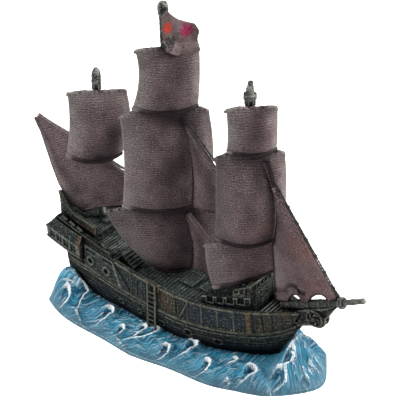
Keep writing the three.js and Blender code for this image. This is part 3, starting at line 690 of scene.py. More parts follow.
def bulwark(side, name):
    def outer(x, z):
        up = z - wale_z(x)
        high = rail_z(x) - z
        aft = behind_post(x)
        frames = sum(band(x, f - 0.55, f + 0.55) for f in FRAMES) + bump(brace_away(x, z), 0, 0.6)
        frames = frames + band(x, -24.5, -22.8)
        post = band(x, POST_X - 1.2, POST_X + 1.2, 0.6)
        panels = band(up, 2.4, FAR, 0.4) * band(high, 1.4, FAR, 0.4) * smooth((x - 17) / 2)
        inner = groove(x, 9.9, 1.4, FRAMES[2])
        reach = 0.5 + 0.65 * frames * aft + 1.1 * post
        reach = reach - aft * 0.5 * panels * (1 - inner) * (1 - np.clip(frames, 0, 1))
        slot_height = band(up, 2.2, 10, 0.4) * band(high, 1.6, FAR)
        for slot in SLOTS:
            reach = reach - 0.9 * band(x, slot - 0.5, slot + 0.5, 0.25) * slot_height
        reach = reach - 0.28 * aft * groove(x, BOARD, 0.22) * (1 - np.clip(frames, 0, 1))
        bow = 1 - aft
        rows = 0.6 * groove(z - 0.35 * wale_z(x) - 0.65 * rail_z(x), 99, 0.35, -1.6)
        blocks = groove(x, BOW_BLOCK, 0.35, BLOCK_START_X)
        joints = np.maximum(rows, 0.7 * blocks)
        reach = reach - bow * (1 - post) * joints * band(up, 1.6, FAR) * band(high, 1.3, FAR)
        reach = reach + 0.35 * band(up, 0, 1.8, 0.4)
        return reach + 0.8 * band(high, -2, 0.5, 0.35)

    def place(u, v, w):
        x = lerp(-37, lerp(82, 87.4, w), u)
        z = lerp(wale_z(x) + 0.8, rail_z(x) + 0.8, w)
        above = smooth((z - deck_z(x) - 0.35) / 0.4)
        lip = 0.45 * band(rail_z(x) - z, -2, 0.5, 0.35)
        inner = lerp(0.08, -BULWARK_THICK - lip, above)
        return x, side * (hull_half(x, z) + lerp(inner, outer(x, z), v)), z

    def relief(p, n, uvw):
        return 0.1 * fbm(stack(p[:, 0] * 1.2, p[:, 2] * 0.3, p[:, 1]), 1.0, 3, 8)

    def paint(p, n, uvw):
        x, z = p[:, 0], p[:, 2]
        up, high = z - wale_z(x), rail_z(x) - z
        aft = behind_post(x)
        frames = sum(bump(x, f, 0.55) for f in FRAMES) + bump(brace_away(x, z), 0, 0.55)
        wear_and_highlight = smooth(0.55 + fbm(p, 4, 3, 31))
        light = 0.7 * np.clip(frames, 0, 1) * aft + 0.7 * band(high, -2, 0.35, 0.3)
        slots = sum(band(x, s - 0.5, s + 0.5, 0.25) for s in SLOTS)
        dark = np.clip(slots, 0, 1) * band(up, 2.2, FAR) * band(high, 1.6, FAR)
        dark = dark + (1 - aft) * 0.8 * groove(x, BOW_BLOCK, 0.4, BLOCK_START_X)
        dark = dark + 0.4 * aft * groove(x, BOARD, 0.25)
        post = band(x, POST_X - 0.4, POST_X + 1.3, 0.5)
        panel = band(x, *OCHRE_X, 1.0) * band(up, 2.5, FAR) * band(high, 1.5, FAR)
        ochre = post + 0.35 * panel + 0.2 * band(high, -2, 1.0)
        ochre = ochre + 0.4 * (1 - aft) * smooth(fbm(p, 9, 2, 14) + 0.2)
        blue = aft * smooth((x - 16) / 3) * band(up, 2.2, FAR)
        blue = blue + 0.5 * smooth((2 - x) / 4) * band(up, 2.2, FAR)
        shown = np.where(uvw[:, 1] > 0.5, 1.0, 0.35)
        return {"light": np.clip(light * wear_and_highlight, 0, 1) * shown, "dark": np.clip(dark, 0, 0.9),
                "ochre": np.clip(ochre, 0, 1) * shown, "blue": np.clip(blue * (1 - frames), 0, 1)}

    y = side * (hull_half(-1.8, 42) + 0.3)
    post = block((-2.9, -0.7), (y - 1.1, y + 1.1), (39.5, 44.6), 0.45, soften=2,
                 paint=lambda p, n, uvw: {"ochre": np.full(len(p), 0.9)})
    wall = warp((330, 4, 52), place, relief, paint)
    piece(f"bulwark_{name}", [wall, post], TRIM)


# ---- quarter, poop and stern ---------------------------------------------------------------
# Gun port lids: x, z, half width. Rings: x, z.
PORT_LIDS = [(-58, 44.6, 4.2), (-43, 43.8, 4.2)]
PANEL_RINGS = [(-58, 38), (-44, 36.5)]


def quarter_panel(side, name):
    def lid_area(x, z, cx, cz, width):
        return band(x, cx - width, cx + width) * band(z - 0.06 * (cx - x), cz - 1.1, cz + 1.1)

    def from_edge(x, z):
        """Distance behind the sloping front edge."""
        return -0.365 * (z - 45.4) - 38.6 - x

    def place(u, v, w):
        x = lerp(-64, lerp(-24, -38.6, w), u)
        z = lerp(wale_z(x) + 1.1, lerp(48, 45.4, u), w)
        return x, side * (side_half(x) + lerp(0.25, 1.25, v)), z

    def relief(p, n, uvw):
        x, z = p[:, 0], p[:, 2]
        face = (uvw[:, 1] > 0.9) * facing(np.abs(n[:, 1]), 0.4)
        down = 48 - z - 0.07 * (x + 64)
        push = -0.25 * groove(down, 3.3, 0.28)
        for cx, cz in PANEL_RINGS:
            push = push + 1.1 * ring(x, z, cx, cz, 2.6, 0.75) - 0.8 * disc(x, z, cx, cz, 1.9)
        for lid in PORT_LIDS:
            push = push - 0.9 * lid_area(x, z, *lid)
        return face * (push + 0.4 * band(from_edge(x, z), -1, 1.3)) + 0.08 * fbm(p, 2.2, 3, 2)

    def paint(p, n, uvw):
        x, z = p[:, 0], p[:, 2]
        dark = 0.5 * groove(48 - z - 0.07 * (x + 64), 3.3, 0.3)
        light = 0.1 * np.ones(len(p))
        for cx, cz in PANEL_RINGS:
            dark = dark + disc(x, z, cx, cz, 2.0)
            light = light + 0.5 * ring(x, z, cx, cz, 2.8, 0.6)
        for lid in PORT_LIDS:
            dark = dark + lid_area(x, z, *lid)
        light = light + 0.8 * band(from_edge(x, z), -1, 1.0) + 0.3 * band(z, 44.6, 50)
        return {"dark": np.clip(dark, 0, 0.9), "light": np.clip(light, 0, 1),
                "ochre": 0.35 * smooth(fbm(p, 8, 2, 5)), "blue": np.full(len(p), 0.25)}

    piece(f"quarter_panel_{name}", [warp((100, 3, 52), place, relief, paint)], HULL)


def planked(p, n, pitch, shift=0.0, depth=0.35):
    """Relief of a deck planked across the ship."""
    top = facing(n[:, 2])
    x, y = p[:, 0], p[:, 1]
    seams = groove(x, pitch, 0.24, shift)
    joints = plank_joints(y, (x - shift) / pitch - 0.5, 15)
    return top * (-depth * seams - 0.2 * joints + 0.07 * fbm(stack(x, y / 6, 0 * x), 1.0, 3, 17))


def deck_paint(pitch, shift=0.0, shade=None, pale=0.3):
    """Marks of a planked deck: dark seams and paler planks."""
    def paint(p, n, uvw):
        seams = groove(p[:, 0], pitch, 0.3, shift)
        dark = 0.85 * seams + (0 if shade is None else shade(p))
        grain = fbm(stack(p[:, 0], p[:, 1] / 5, 0 * p[:, 0]), 2.0, 3, 23)
        light = pale * smooth(0.5 + grain) * (1 - seams)
        return {"dark": np.clip(dark, 0, 0.95), "light": light, "blue": 0.3 * smooth(fbm(p, 9, 2, 2))}
    return paint


def decks():
    def main_place(u, v, w):
        x = lerp(QUARTER_FRONT_X + 0.6, CABIN_X[0] - 2.6, u)
        half = hull_half(x, deck_z(x)) - BULWARK_THICK - 0.6
        return x, (2 * v - 1) * half, deck_z(x) + lerp(0.25, 0.9, w)

    paint = deck_paint(2.5, pale=0.15)
    shell = warp((150, 100, 2), main_place, lambda p, n, uvw: planked(p, n, 2.5), paint)
    coaming = []
    for x, half_x, half_y in ((4, 5, 6.5), (17.5, 4, 5)):
        top = float(deck_z(x)) + 2.6

        def grating(p, n, uvw, x=x):
            up = facing(n[:, 2])
            inside = band(p[:, 0], x - half_x + 1, x + half_x - 1) * band(p[:, 1], 1 - half_y, half_y - 1)
            holes = np.minimum(groove(p[:, 0] + 1, 2, 0.5), groove(p[:, 1] + 1, 2, 0.5))
            return -0.5 * up * inside * holes

        limits = (x - half_x, x + half_x), (-half_y, half_y), (top - 2.3, top)
        coaming.append(block(*limits, 0.4, relief=grating))
    piece("main_deck", [shell] + coaming, DECK)

    def quarter_place(u, v, w):
        x = lerp(QUARTER_BACK_X, QUARTER_FRONT_X, u)
        return x, (2 * v - 1) * side_half(x), lerp(block_top_z(x) + 0.3, quarter_z(x), w)

    def quarter_relief(p, n, uvw):
        y, z = p[:, 1], p[:, 2]
        front = facing(n[:, 0]) * (z > 40)
        doors = sum(band(y, c - 2.3, c + 2.3) for c in (-14, -5, 5, 14)) * band(z, 38, 44.6)
        wall = 0.3 * band(z, 45.2, 50) - 0.9 * doors - 0.2 * groove(y, 2.0, 0.2)
        return planked(p, n, 2.1) + front * wall

    def front_shade(p):
        face = smooth((p[:, 0] + 38.6) / 0.4)
        return face * 0.35 * band(p[:, 2], 30, 45)

    paint = deck_paint(2.1, shade=front_shade, pale=0.9)
    shell = warp((120, 100, 24), quarter_place, quarter_relief, paint)
    piece("quarterdeck", [shell], DECK)

    def poop_place(u, v, w):
        x = lerp(POOP_BACK_X, POOP_FRONT_X, u)
        return x, (2 * v - 1) * lerp(*POOP_HALF, u), lerp(quarter_z(x) + 0.3, POOP_Z, w)

    def poop_relief(p, n, uvw):
        front = facing(n[:, 0])
        y, z = p[:, 1], p[:, 2]
        panes = band((y + 2.5) % 5, 1.0, 4.0) * band(z, 48.8, 51.6)
        return planked(p, n, 2.1, 0.6) + front * (-0.6 * panes + 0.3 * band(z, 52, 54))

    shell = warp((70, 90, 12), poop_place, poop_relief, deck_paint(2.1, 0.6, pale=0.2))
    skylight = block((-66, -62.5), (-5, 5), (POOP_Z - 0.3, POOP_Z + 2.6), 0.4)
    piece("poop_deck", [shell, skylight], DECK)


def cannon_radius(t):
    return 0.95 - 0.3 * t + 0.25 * bump(t, 0.05, 0.06) + 0.2 * bump(t, 0.97, 0.05)


def quarter_rail(side, name):
    def place(u, v, w):
        x = lerp(QUARTER_BACK_X + 1, -41, u)
        z = lerp(quarter_z(x) + 0.3, ledge_z(x) + 0.7, w)
        lip = smooth((z - ledge_z(x) + 0.6) / 0.3)
        inner, outer = -2 - 0.6 * lip, -0.2 + 1.0 * lip
        return x, side * (side_half(x) + lerp(inner, outer, v)), z

    def relief(p, n, uvw):
        return 0.15 * fbm(p, 3, 3, 8) - 0.2 * groove(p[:, 0], 5.2, 0.3)

    def paint(p, n, uvw):
        edge = band(p[:, 2] - ledge_z(p[:, 0]), -0.6, 2) * smooth(0.4 + fbm(p, 4, 3, 2))
        return {"light": 0.6 * edge, "blue": 0.4 * smooth(fbm(p, 8, 2, 6)), "dark": 0.5 * (1 - edge)}

    shells = [warp((150, 6, 14), place, relief, paint)]
    for x in (-84, -76.5, -69.5, -47):
        y = side * (side_half(x) - 0.8)
        z = float(ledge_z(x))
        breech, muzzle = (x - 2.8, y - side * 1.2, z + 1.6), (x + 2.6, y + side * 0.6, z + 1.7)
        cannon = bar(breech, muzzle, cannon_radius)
        rest = block((x - 1.3, x + 0.9), (y - 1.1, y + 0.9), (z - 0.4, z + 0.9), 0.45, soften=3)
        shells += [cannon, rest]
    piece(f"quarter_rail_{name}", shells, TRIM)


def poop_along(x):
    """0 at the back of the poop bulwark, 1 at its front."""
    return (x - POOP_BACK_X) / (POOP_FRONT_X + 0.5 - POOP_BACK_X)


def poop_crown(u):
    """Height of the top of the poop bulwark, which sweeps up aft."""
    return 58.8 + 3.6 * (1 - u) + 10.5 * np.clip(1 - u / 0.4, 0, 1) ** 2


def poop_bulwark(side, name):
    def place(u, v, w):
        x = lerp(POOP_BACK_X, POOP_FRONT_X + 0.5, u)
        crown = poop_crown(u)
        z = lerp(quarter_z(x) + 0.3, crown, w)
        lip = smooth((z - crown + 1.4) / 0.3)
        y = lerp(*POOP_HALF, u) + lerp(0.3 - 0.35 * lip, 1.7 + 0.6 * lip, v)
        return x, side * y, z

    def relief(p, n, uvw):
        x, z = p[:, 0], p[:, 2]
        under = poop_crown(poop_along(x)) - z
        posts = 0.35 * groove(x, 7.0, 0.6, POOP_FRONT_X) * band(under, 1.2, FAR)
        boards = posts + 0.35 * band(under, 4.6, 5.6) - 0.2 * groove(x, 1.75, 0.2)
        return facing(np.abs(n[:, 1])) * boards

    def paint(p, n, uvw):
        u = poop_along(p[:, 0])
        under = poop_crown(u) - p[:, 2]
        outside = smooth((uvw[:, 1] - 0.4) / 0.2)
        light = band(under, -2, 1.1) * 0.95 * smooth(0.6 + fbm(p, 4, 3, 9)) + 0.5 * band(under, 4.7, 5.5)
        ochre = 0.55 * smooth((u - 0.45) / 0.3) * band(under, 1.3, 7.5)
        return {"light": light * lerp(0.5, 0.8, outside), "ochre": ochre * outside,
                "dark": 0.9 * (1 - outside) * band(under, 1.5, FAR)}

    piece(f"poop_bulwark_{name}", [warp((80, 4, 52), place, relief, paint)], TRIM)


def taffrail_z(b):
    """Height of the taffrail's top, where b runs from -1 to 1 across the stern."""
    return 69.5 + 4 * b * b


def taffrail():
    def place(u, v, w):
        b = 2 * v - 1
        z = lerp(quarter_z(QUARTER_BACK_X) + 0.3, taffrail_z(b), w)
        return POOP_BACK_X - 0.3 - 1.8 * (1 - u) - 1.2 * smooth((w - 0.7) / 0.3), b * 17, z

    def relief(p, n, uvw):
        y, z = p[:, 1], p[:, 2]
        face = facing(np.abs(n[:, 0]))
        under = taffrail_z(y / 17) - z
        shell_rays = 0.35 * np.cos(np.arctan2(y, z - 56) * 14) * band(np.hypot(y, z - 56), 3, 8.5, 0.8)
        frame = 0.6 * band(under, -2, 1.6) + 0.5 * groove(y, 8.5, 0.6) * band(under, 1.5, FAR)
        return face * (frame + shell_rays - 0.2 * groove(z, 2.9, 0.25)) + 0.1 * fbm(p, 2, 3, 4)

    def paint(p, n, uvw):
        under = taffrail_z(p[:, 1] / 17) - p[:, 2]
        return {"light": 0.8 * band(under, -2, 1.5) * smooth(0.5 + fbm(p, 3, 3, 9)),
                "ochre": 0.3 * smooth(fbm(p, 6, 2, 6) + 0.3)}

    piece("taffrail", [warp((4, 90, 60), place, relief, paint)], TRIM)


# The quarter gallery from its foot to its top: back end, reach outboard and height at each level.
GALLERY_FRONT_X, GALLERY_SLOPE = -66, 0.04
GALLERY_LEVELS = [0, 1 / 3, 2 / 3, 1]
GALLERY_AFT_X = [-92.5, -99, -99, -93.2]
GALLERY_OUT = [1.8, 4.2, 4.6, 1.5]
GALLERY_Z = [34.6, 37.6, 46.4, 52.2]
GALLERY_WINDOWS = [-93 + 7 * k for k in range(4)]


def quarter_gallery(side, name):
    def place(u, v, w):
        x = lerp(np.interp(w, GALLERY_LEVELS, GALLERY_AFT_X), GALLERY_FRONT_X, u)
        inner = np.maximum(side_half(x), 20.2) + 0.3
        outer = side_half(x) + np.interp(w, GALLERY_LEVELS, GALLERY_OUT)
        z = np.interp(w, GALLERY_LEVELS, GALLERY_Z) - GALLERY_SLOPE * (x - GALLERY_FRONT_X)
        return x, side * lerp(inner, outer, v), z

    def level(p):
        """Height with the fore-and-aft slope taken out."""
        return p[:, 2] + GALLERY_SLOPE * (p[:, 0] - GALLERY_FRONT_X)

    def panes(p):
        columns = sum(band(p[:, 0], c - 2.5, c + 2.5) for c in GALLERY_WINDOWS)
        return columns * band(level(p), 39.4, 44.9)

    def bars(p):
        across = sum(bump(p[:, 0], c, 0.35) for c in GALLERY_WINDOWS)
        return np.clip(across + bump(level(p), 42.2, 0.35), 0, 1)

    def relief(p, n, uvw):
        face = (uvw[:, 1] > 0.7) * facing(np.abs(n[:, 1]), 0.2)
        h = level(p)
        push = -1.0 * panes(p) * (1 - 0.55 * bars(p))
        push = push + 0.7 * band(h, 45.4, 47.0) + 0.6 * band(h, 37.2, 38.6) + 0.45 * band(h, 34.4, 35.6)
        scales = 0.5 * np.maximum(fbm(p, 3.4, 3, 13), -0.2) - 0.25 * groove(p[:, 0], 2.4, 0.3)
        push = push + band(h, 47.6, FAR) * scales
        return face * push + 0.09 * fbm(p, 2.2, 3, 7)

    def paint(p, n, uvw):
        h = level(p)
        light = 0.6 * (band(h, 45.4, 46.8) + band(h, 37.3, 38.4)) * smooth(0.5 + fbm(p, 4, 3, 9))
        light = light + 0.5 * band(h, 39, 45.2) * (1 - panes(p)) + 0.2 * bars(p) * panes(p)
        light = light + 0.35 * band(h, 47.6, FAR) * smooth(fbm(p, 2, 3, 41))
        ochre = 0.9 * band(p[:, 0], -68.5, -65) + 0.4 * band(h, 34, 36)
        return {"dark": 0.8 * panes(p) * (1 - bars(p)), "light": np.clip(light, 0, 1),
                "ochre": np.clip(ochre, 0, 1), "blue": 0.5 * band(h, 38.6, 45.4)}

    piece(f"quarter_gallery_{name}", [warp((110, 4, 66), place, relief, paint)], HULL)


# Profile of the stern gallery: height, and how far back it reaches there.
STERN_Z = [30.5, 32.6, 38.4, 46.0, 54.6]
STERN_X = [-85.0, -90.0, -101.4, -99.6, -93.2]


def stern_gallery():
    def place(u, v, w):
        z = lerp(30.5, 54.6, w)
        front = np.where(z < 34.6, -84.4, -92.3)
        return lerp(np.interp(z, STERN_Z, STERN_X), front, u), lerp(-19.6, 19.6, v), z

    def panes(p):
        return band((p[:, 1]) % 6 - 3, -2.2, 2.2) * band(p[:, 2], 39.6, 44.8) * (np.abs(p[:, 1]) < 18)

    def relief(p, n, uvw):
        y, z = p[:, 1], p[:, 2]
        face = (uvw[:, 0] < 0.3) * facing(-n[:, 0], 0.1)
        mullion = np.clip(bump((y % 6) - 3, 0, 0.35) + bump(z, 42.2, 0.35), 0, 1)
        push = -1.0 * panes(p) * (1 - 0.55 * mullion)
        push = push + 0.6 * band(z, 45.4, 46.8) + 0.6 * band(z, 37.4, 38.8) + 0.4 * band(z, 49.8, 50.8)
        scroll = 0.4 * np.sin(y * 1.3 + 2 * np.sin(z)) * band(z, 47, 49.6)
        scroll = scroll + 0.3 * np.cos(y * 0.9) * band(z, 33, 37)
        return face * (push + scroll) + 0.09 * fbm(p, 2.2, 3, 7)

    def paint(p, n, uvw):
        z = p[:, 2]
        light = 0.6 * (band(z, 45.4, 46.8) + band(z, 37.4, 38.8)) + 0.4 * band(z, 39, 45.2) * (1 - panes(p))
        return {"dark": 0.8 * panes(p), "light": light * smooth(0.6 + fbm(p, 4, 3, 9)),
                "ochre": 0.3 * band(z, 47, 50), "blue": 0.4 * band(z, 38.6, 45.4)}

    piece("stern_gallery", [warp((10, 90, 60), place, relief, paint)], HULL)


def rudder():
    def place(u, v, w):
        z = lerp(9.6, 29.9, w)
        front = lerp(-80.7, -84.6, w)
        back = np.interp(z, [9.6, 20, 29.9], [-88.5, -90.2, -90.5])
        return lerp(back, front, u), lerp(-1.3, 1.3, v), z

    def relief(p, n, uvw):
        face = facing(np.abs(n[:, 1]))
        straps = band(p[:, 2], 13, 14.6) + band(p[:, 2], 23, 24.6)
        return face * (0.35 * straps - 0.2 * groove(p[:, 0], 2.2, 0.2))

    piece("rudder", [warp((20, 6, 46), place, relief)], HULL)


# ---- waist and forecastle -------------------------------------------------------------------
def companion_stairs():
    foot = float(deck_z(QUARTER_FRONT_X)) + 1.1
    shells = []
    for k in range(5):
        x = QUARTER_FRONT_X + 0.3 + 1.8 * (5 - k)
        top = foot + 1.7 * (k + 1)
        shells.append(block((QUARTER_FRONT_X + 0.3, x - 0.1), (-18.2, -9.8), (top - 1.75, top - 0.4), 0.5))
        shells.append(block((x - 2.4, x + 0.2), (-18.4, -9.6), (top - 0.5, top), 0.4,
                            paint=lambda p, n, uvw: {"light": np.full(len(p), 0.5)}))
    for y in (-19.0, -9.6):
        shells.append(warp((24, 3, 20), lambda u, v, w, y=y: (
            QUARTER_FRONT_X + 0.3 + 9.2 * u, y + 0.6 * v, lerp(foot + 0.1, foot + 9.4 - 8.0 * u, w))))
    piece("companion_stairs", shells, DECK)


def boarding_ladder():
    x = -9.0
    skin = float(side_half(x)) + 1.9
    shells = []
    for rail in (x - 0.6, x + 5.3):
        sway = 0.15 * np.sin(np.linspace(0, 5, 50))
        path = stack(rail + 0.65 + sway, -skin - 0.35, np.linspace(44.4, 10.6, 50))
        shells.append(tube(path, 0.72, 10, marks={"light": 0.45}))
    for k in range(8):
        z = 12.95 + 3.6 * k
        shells.append(bar((x - 0.2, -skin - 0.3, z), (x + 6.1, -skin - 0.3, z + 0.1), 0.5, 10, sides=10))
    piece("boarding_ladder", shells, TRIM)


WINDOW_X = [33.2 + 6.2 * k for k in range(4)]


WINDOW_SLOPE, WINDOW_START_X = 0.19, 33


def window_sill_z(x):
    return 44.4 + WINDOW_SLOPE * (x - WINDOW_START_X)


def forecastle():
    def place(u, v, w):
        x = lerp(CABIN_X[0] - 2 * (1 - w), CABIN_X[1], u)
        half = cabin_half(x) - 0.6 * w
        return x, (2 * v - 1) * half, lerp(deck_z(x) + 0.3, roof_z(x), w)

    def arches(p, grow=0.0):
        """1 inside the arched windows, each grown by grow."""
        x, z = p[:, 0], p[:, 2]
        total = 0
        for c in WINDOW_X:
            width = 1.9 + grow
            up = z - window_sill_z(c)
            arch = np.where(up > 3.2, np.hypot(x - c, up - 3.2), np.abs(x - c))
            total = total + smooth((width - arch) / 0.4 + 0.5) * smooth((up + grow) / 0.3 + 0.5)
        return np.clip(total, 0, 1)

    def relief(p, n, uvw):
        x, y, z = p.T
        face = facing(np.abs(n[:, 1]), 0.4)
        front = facing(n[:, 0])
        pane, frame_area = arches(p), arches(p, 0.7)
        bars = np.clip(sum(bump(x, c, 0.3) for c in WINDOW_X), 0, 1)
        bars = bars + bump(z - WINDOW_SLOPE * (x - WINDOW_START_X), 46.2, 0.3)
        push = 0.4 * (frame_area - pane) - pane * (0.9 - 0.5 * np.clip(bars, 0, 1))
        push = push + 0.5 * band(roof_z(x) - z, -1, 0.9)
        posts = 0.5 * groove(y, 6.0, 0.6) - 0.25 * groove(y, 1.5, 0.2)
        return face * push + front * posts + planked(p, n, 2.4, 0.4)

    def paint(p, n, uvw):
        x, z = p[:, 0], p[:, 2]
        face = facing(np.abs(n[:, 1]), 0.4)
        front = facing(n[:, 0])
        pane, frame_area = arches(p), arches(p, 0.8)
        light = face * (0.5 * (frame_area - pane) + 0.6 * band(roof_z(x) - z, -1, 0.8))
        light = light + front * 0.7 * smooth(0.2 + fbm(p, 1.5, 3, 4))
        top = facing(n[:, 2], 0.6)
        dark = face * 0.6 * pane + top * (0.8 * groove(x, 2.4, 0.3, 0.4) + 0.15)
        return {"light": np.clip(light, 0, 1), "dark": np.clip(dark, 0, 0.9),
                "blue": face * 0.7 * (1 - pane), "ochre": 0.2 * face * frame_area}

    piece("forecastle", [warp((110, 100, 44), place, relief, paint)], HULL)


def forecastle_rail():
    shells = []

    def side_openings(p):
        height = band(p[:, 2], 55, lerp(56.2, 60.6, (p[:, 0] - 47) / 9.8))
        return height * band((p[:, 0] - 47.2) % 3.2, 0.5, 2.7)

    def beam_openings(p):
        return band(p[:, 2], 56.6, 60.3) * band((p[:, 1] + 1.9) % 3.8, 0.5, 3.3)

    def side_relief(p, n, uvw):
        return 0.09 * fbm(p, 1.6, 3, 6) - 0.6 * facing(np.abs(n[:, 1])) * side_openings(p)

    def side_paint(p, n, uvw):
        inside = side_openings(p)
        return {"light": 0.5 * (1 - inside), "dark": 0.6 * inside}

    def beam_relief(p, n, uvw):
        push = 0.3 * band(p[:, 2], 60.6, 63) - 0.7 * beam_openings(p)
        return 0.09 * fbm(p, 1.6, 3, 6) + facing(np.abs(n[:, 0])) * push

    def beam_paint(p, n, uvw):
        inside = beam_openings(p)
        return {"light": 0.55 * band(p[:, 2], 60.4, 63), "dark": 0.6 * inside, "blue": 0.6 * inside}

    for side in (-1, 1):
        def place(u, v, w, side=side):
            x = lerp(47, CABIN_X[1] - 0.2, u)
            z = lerp(roof_z(x) + 0.3, lerp(57, 61.5, u), w)
            return x, side * (cabin_half(x) - 2.4 + 1.6 * v), z

        shells.append(warp((40, 4, 26), place, side_relief, side_paint))
    half = float(cabin_half(55.5)) - 0.9
    limits = (54.8, 57.0), (-half, half), (float(roof_z(55.8)) + 0.2, 61.6)
    shells.append(block(*limits, 0.4, relief=beam_relief, paint=beam_paint))
    cap = np.linspace(-half - 0.4, half + 0.4, 40)
    shells.append(tube(stack(57.1, cap, 61.7), 0.75, 10, marks={"light": 0.7}))
    piece("forecastle_rail", shells, TRIM)


def beakhead_grating():
    def place(u, v, w):
        x = lerp(58, 80, u)
        half = side_half(x) - BULWARK_THICK - 0.9
        return x, (2 * v - 1) * half, deck_z(x) + lerp(0.3, 2.0, w)

    def relief(p, n, uvw):
        return planked(p, n, 2.6, 1.2, 0.5)

    shells = [warp((50, 44, 6), place, relief, deck_paint(2.6, 1.2, pale=0.4))]
    for k in range(5):
        x = 60 + 2.6 * k
        half = float(side_half(x + 0.6)) - BULWARK_THICK - 1.4
        z = float(deck_z(x)) + 2.3
        shells.append(bar((x, -half, z), (x, half, z), 0.62, sides=10, marks={"light": 0.6}))
    piece("beakhead_grating", shells, DECK)


# Lower and upper edge of the head knee, each as x and z, from the stem to its tip.
KNEE_T = [0, 0.2, 0.5, 0.7, 0.85, 1.0]
KNEE_LOW = ([84.5, 90.1, 99.0, 103.5, 107.1, 110.5], [39.5, 42.5, 46.9, 52.8, 60.0, 65.4])
KNEE_TOP = ([84.5, 90.0, 97.0, 102.0, 106.0, 109.5], [51.5, 54.8, 58.6, 61.2, 63.5, 66.2])


def head_knee():
    def place(u, v, w):
        x_low, z_low = np.interp(u, KNEE_T, KNEE_LOW[0]), np.interp(u, KNEE_T, KNEE_LOW[1])
        x_top, z_top = np.interp(u, KNEE_T, KNEE_TOP[0]), np.interp(u, KNEE_T, KNEE_TOP[1])
        return lerp(x_low, x_top, w), lerp(-2, 2, v), lerp(z_low, z_top, w)

    def relief(p, n, uvw):
        face = facing(np.abs(n[:, 1]))
        w = uvw[:, 2]
        seams = 0.35 * groove(uvw[:, 0], 0.14, 0.012) * band(w, 0.25, 0.75, 0.1)
        return face * (0.5 * bump(w, 0.1, 0.07) + 0.5 * bump(w, 0.9, 0.07) - seams)

    def paint(p, n, uvw):
        w = uvw[:, 2]
        seams = 0.8 * groove(uvw[:, 0], 0.14, 0.015) * band(w, 0.2, 0.8, 0.1)
        return {"light": 0.5 * np.clip(bump(w, 0.05, 0.1) + bump(w, 0.95, 0.1), 0, 1), "dark": seams,
                "ochre": 0.3 * smooth(fbm(p, 6, 2, 14) + 0.3)}

    shells = [warp((60, 8, 34), place, relief, paint, soften=2)]
    turn = np.linspace(-2.6, 0.5, 40)
    for side in (-1, 1):
        rise = 6.0 * np.sin(turn) * lerp(1.0, 0.8, turn > 0)
        path = stack(97.2 + 6.2 * np.cos(turn), side * 1.9, 52.2 + rise)
        shells.append(tube(path, 0.7 + 0.3 * np.sin(np.linspace(0, 3.1, 40)), 10, marks={"light": 0.3}))
    piece("head_knee", shells, HULL)


def figurehead_scroll(side, name):
    profile = [[5.0, 0], [5.7, 0.4], [5.7, 1.5], [5.0, 1.9], [4.2, 1.3], [1.9, 1.2], [1.5, 2.4], [0.4, 2.8]]

    def angle_radius(p):
        x, z = p[:, 0] - 97, p[:, 2] - 52
        return np.arctan2(z, x), np.hypot(x, z)

    def spoke_area(angle, r):
        return smooth(np.cos(5 * angle + 1.8 * r) * 2 - 0.2)

    def relief(p, n):
        angle, r = angle_radius(p)
        out = facing(side * n[:, 1], 0.4)
        spokes = spoke_area(angle, r)
        beads = smooth(np.cos(20 * angle)) * band(r, 4.6, 5.8)
        return out * (0.8 * spokes * band(r, 1.6, 4.4) + 0.3 * beads)

    def paint(p):
        angle, r = angle_radius(p)
        spokes = spoke_area(angle, r) * band(r, 1.6, 4.4)
        return {"light": 0.4 * spokes + 0.5 * band(r, 4.9, 6), "dark": 0.7 * (1 - spokes) * band(r, 1.6, 4.4)}

    wheel = turned(profile, (97, side * 2.1, 52), (0, side, 0), 96, 0.25, relief=relief, paint=paint)
    piece(f"figurehead_scroll_{name}", [wheel], TRIM)


# ---- masts and spars ------------------------------------------------------------------------
def dry_brushed(p):
    return {"light": 0.85 * smooth(fbm(p, 3.0, 3, 51) + 0.45)}


def mast(name, x, z_foot, z_head, head_profile, extras):
    height = z_head - z_foot
    steps = np.linspace(0, height, 160)
    shaft = [[lerp(*MAST_R, h / height) + 0.25 * groove(h, 13.0, 0.8), h] for h in steps]
    piece(f"{name}_mast", [turned(shaft, (x, 0, z_foot), sides=28, paint=dry_brushed)], SPAR)
    head = turned(head_profile, (x, 0, z_head), sides=48, step=0.25, grain=0.3, paint=dry_brushed)
    piece(f"{name}_masthead", [head] + extras(x, z_head), SPAR)


def staves(count, radius, low, high, thick):
    """Upright battens standing around a masthead."""
    def build(x, z):
        shells = []
        for k in range(count):
            a = 2 * np.pi * (k + 0.5) / count
            foot = (x + radius * math.cos(a), radius * math.sin(a), z + low)
            shells.append(bar(foot, (foot[0], foot[1], z + high), thick, 8, sides=8, marks={"light": 0.6}))
        return shells
    return build


def masts():
    """The three masts; each masthead profile is a list of [radius, height]."""
    domed = [[1.9, 0], [2.0, 3.0], [3.0, 3.4], [3.1, 4.7], [2.7, 5.0], [3.2, 5.5], [3.3, 6.7], [2.8, 7.0],
             [3.2, 7.5], [3.0, 9.4], [2.1, 10.7], [0.9, 11.3]]
    pegged = [[2.9, 0], [2.9, 3.6], [3.7, 4.2], [3.7, 7.0], [2.9, 7.6], [2.4, 8.2], [2.3, 10.4], [1.7, 12.0],
              [1.6, 14.4], [0.8, 15.2]]
    bullet = [[2.5, 0], [2.6, 4.6], [3.1, 5.2], [3.1, 6.4], [2.8, 6.9], [3.0, 9.8], [2.4, 12.6], [1.2, 14.4],
              [0.4, 14.8]]
    mast("main", MAIN_X, float(deck_z(MAIN_X)) + 1.1, 208.6, domed, staves(7, 2.0, 0.2, 3.2, 0.4))
    mast("fore", FORE_X, float(roof_z(FORE_X)) + 0.6, 174.6, pegged, staves(8, 2.95, 0.4, 3.9, 0.4))
    mast("mizzen", MIZZEN_X, POOP_Z, 146.6, bullet, staves(7, 2.6, 0.4, 4.8, 0.4))


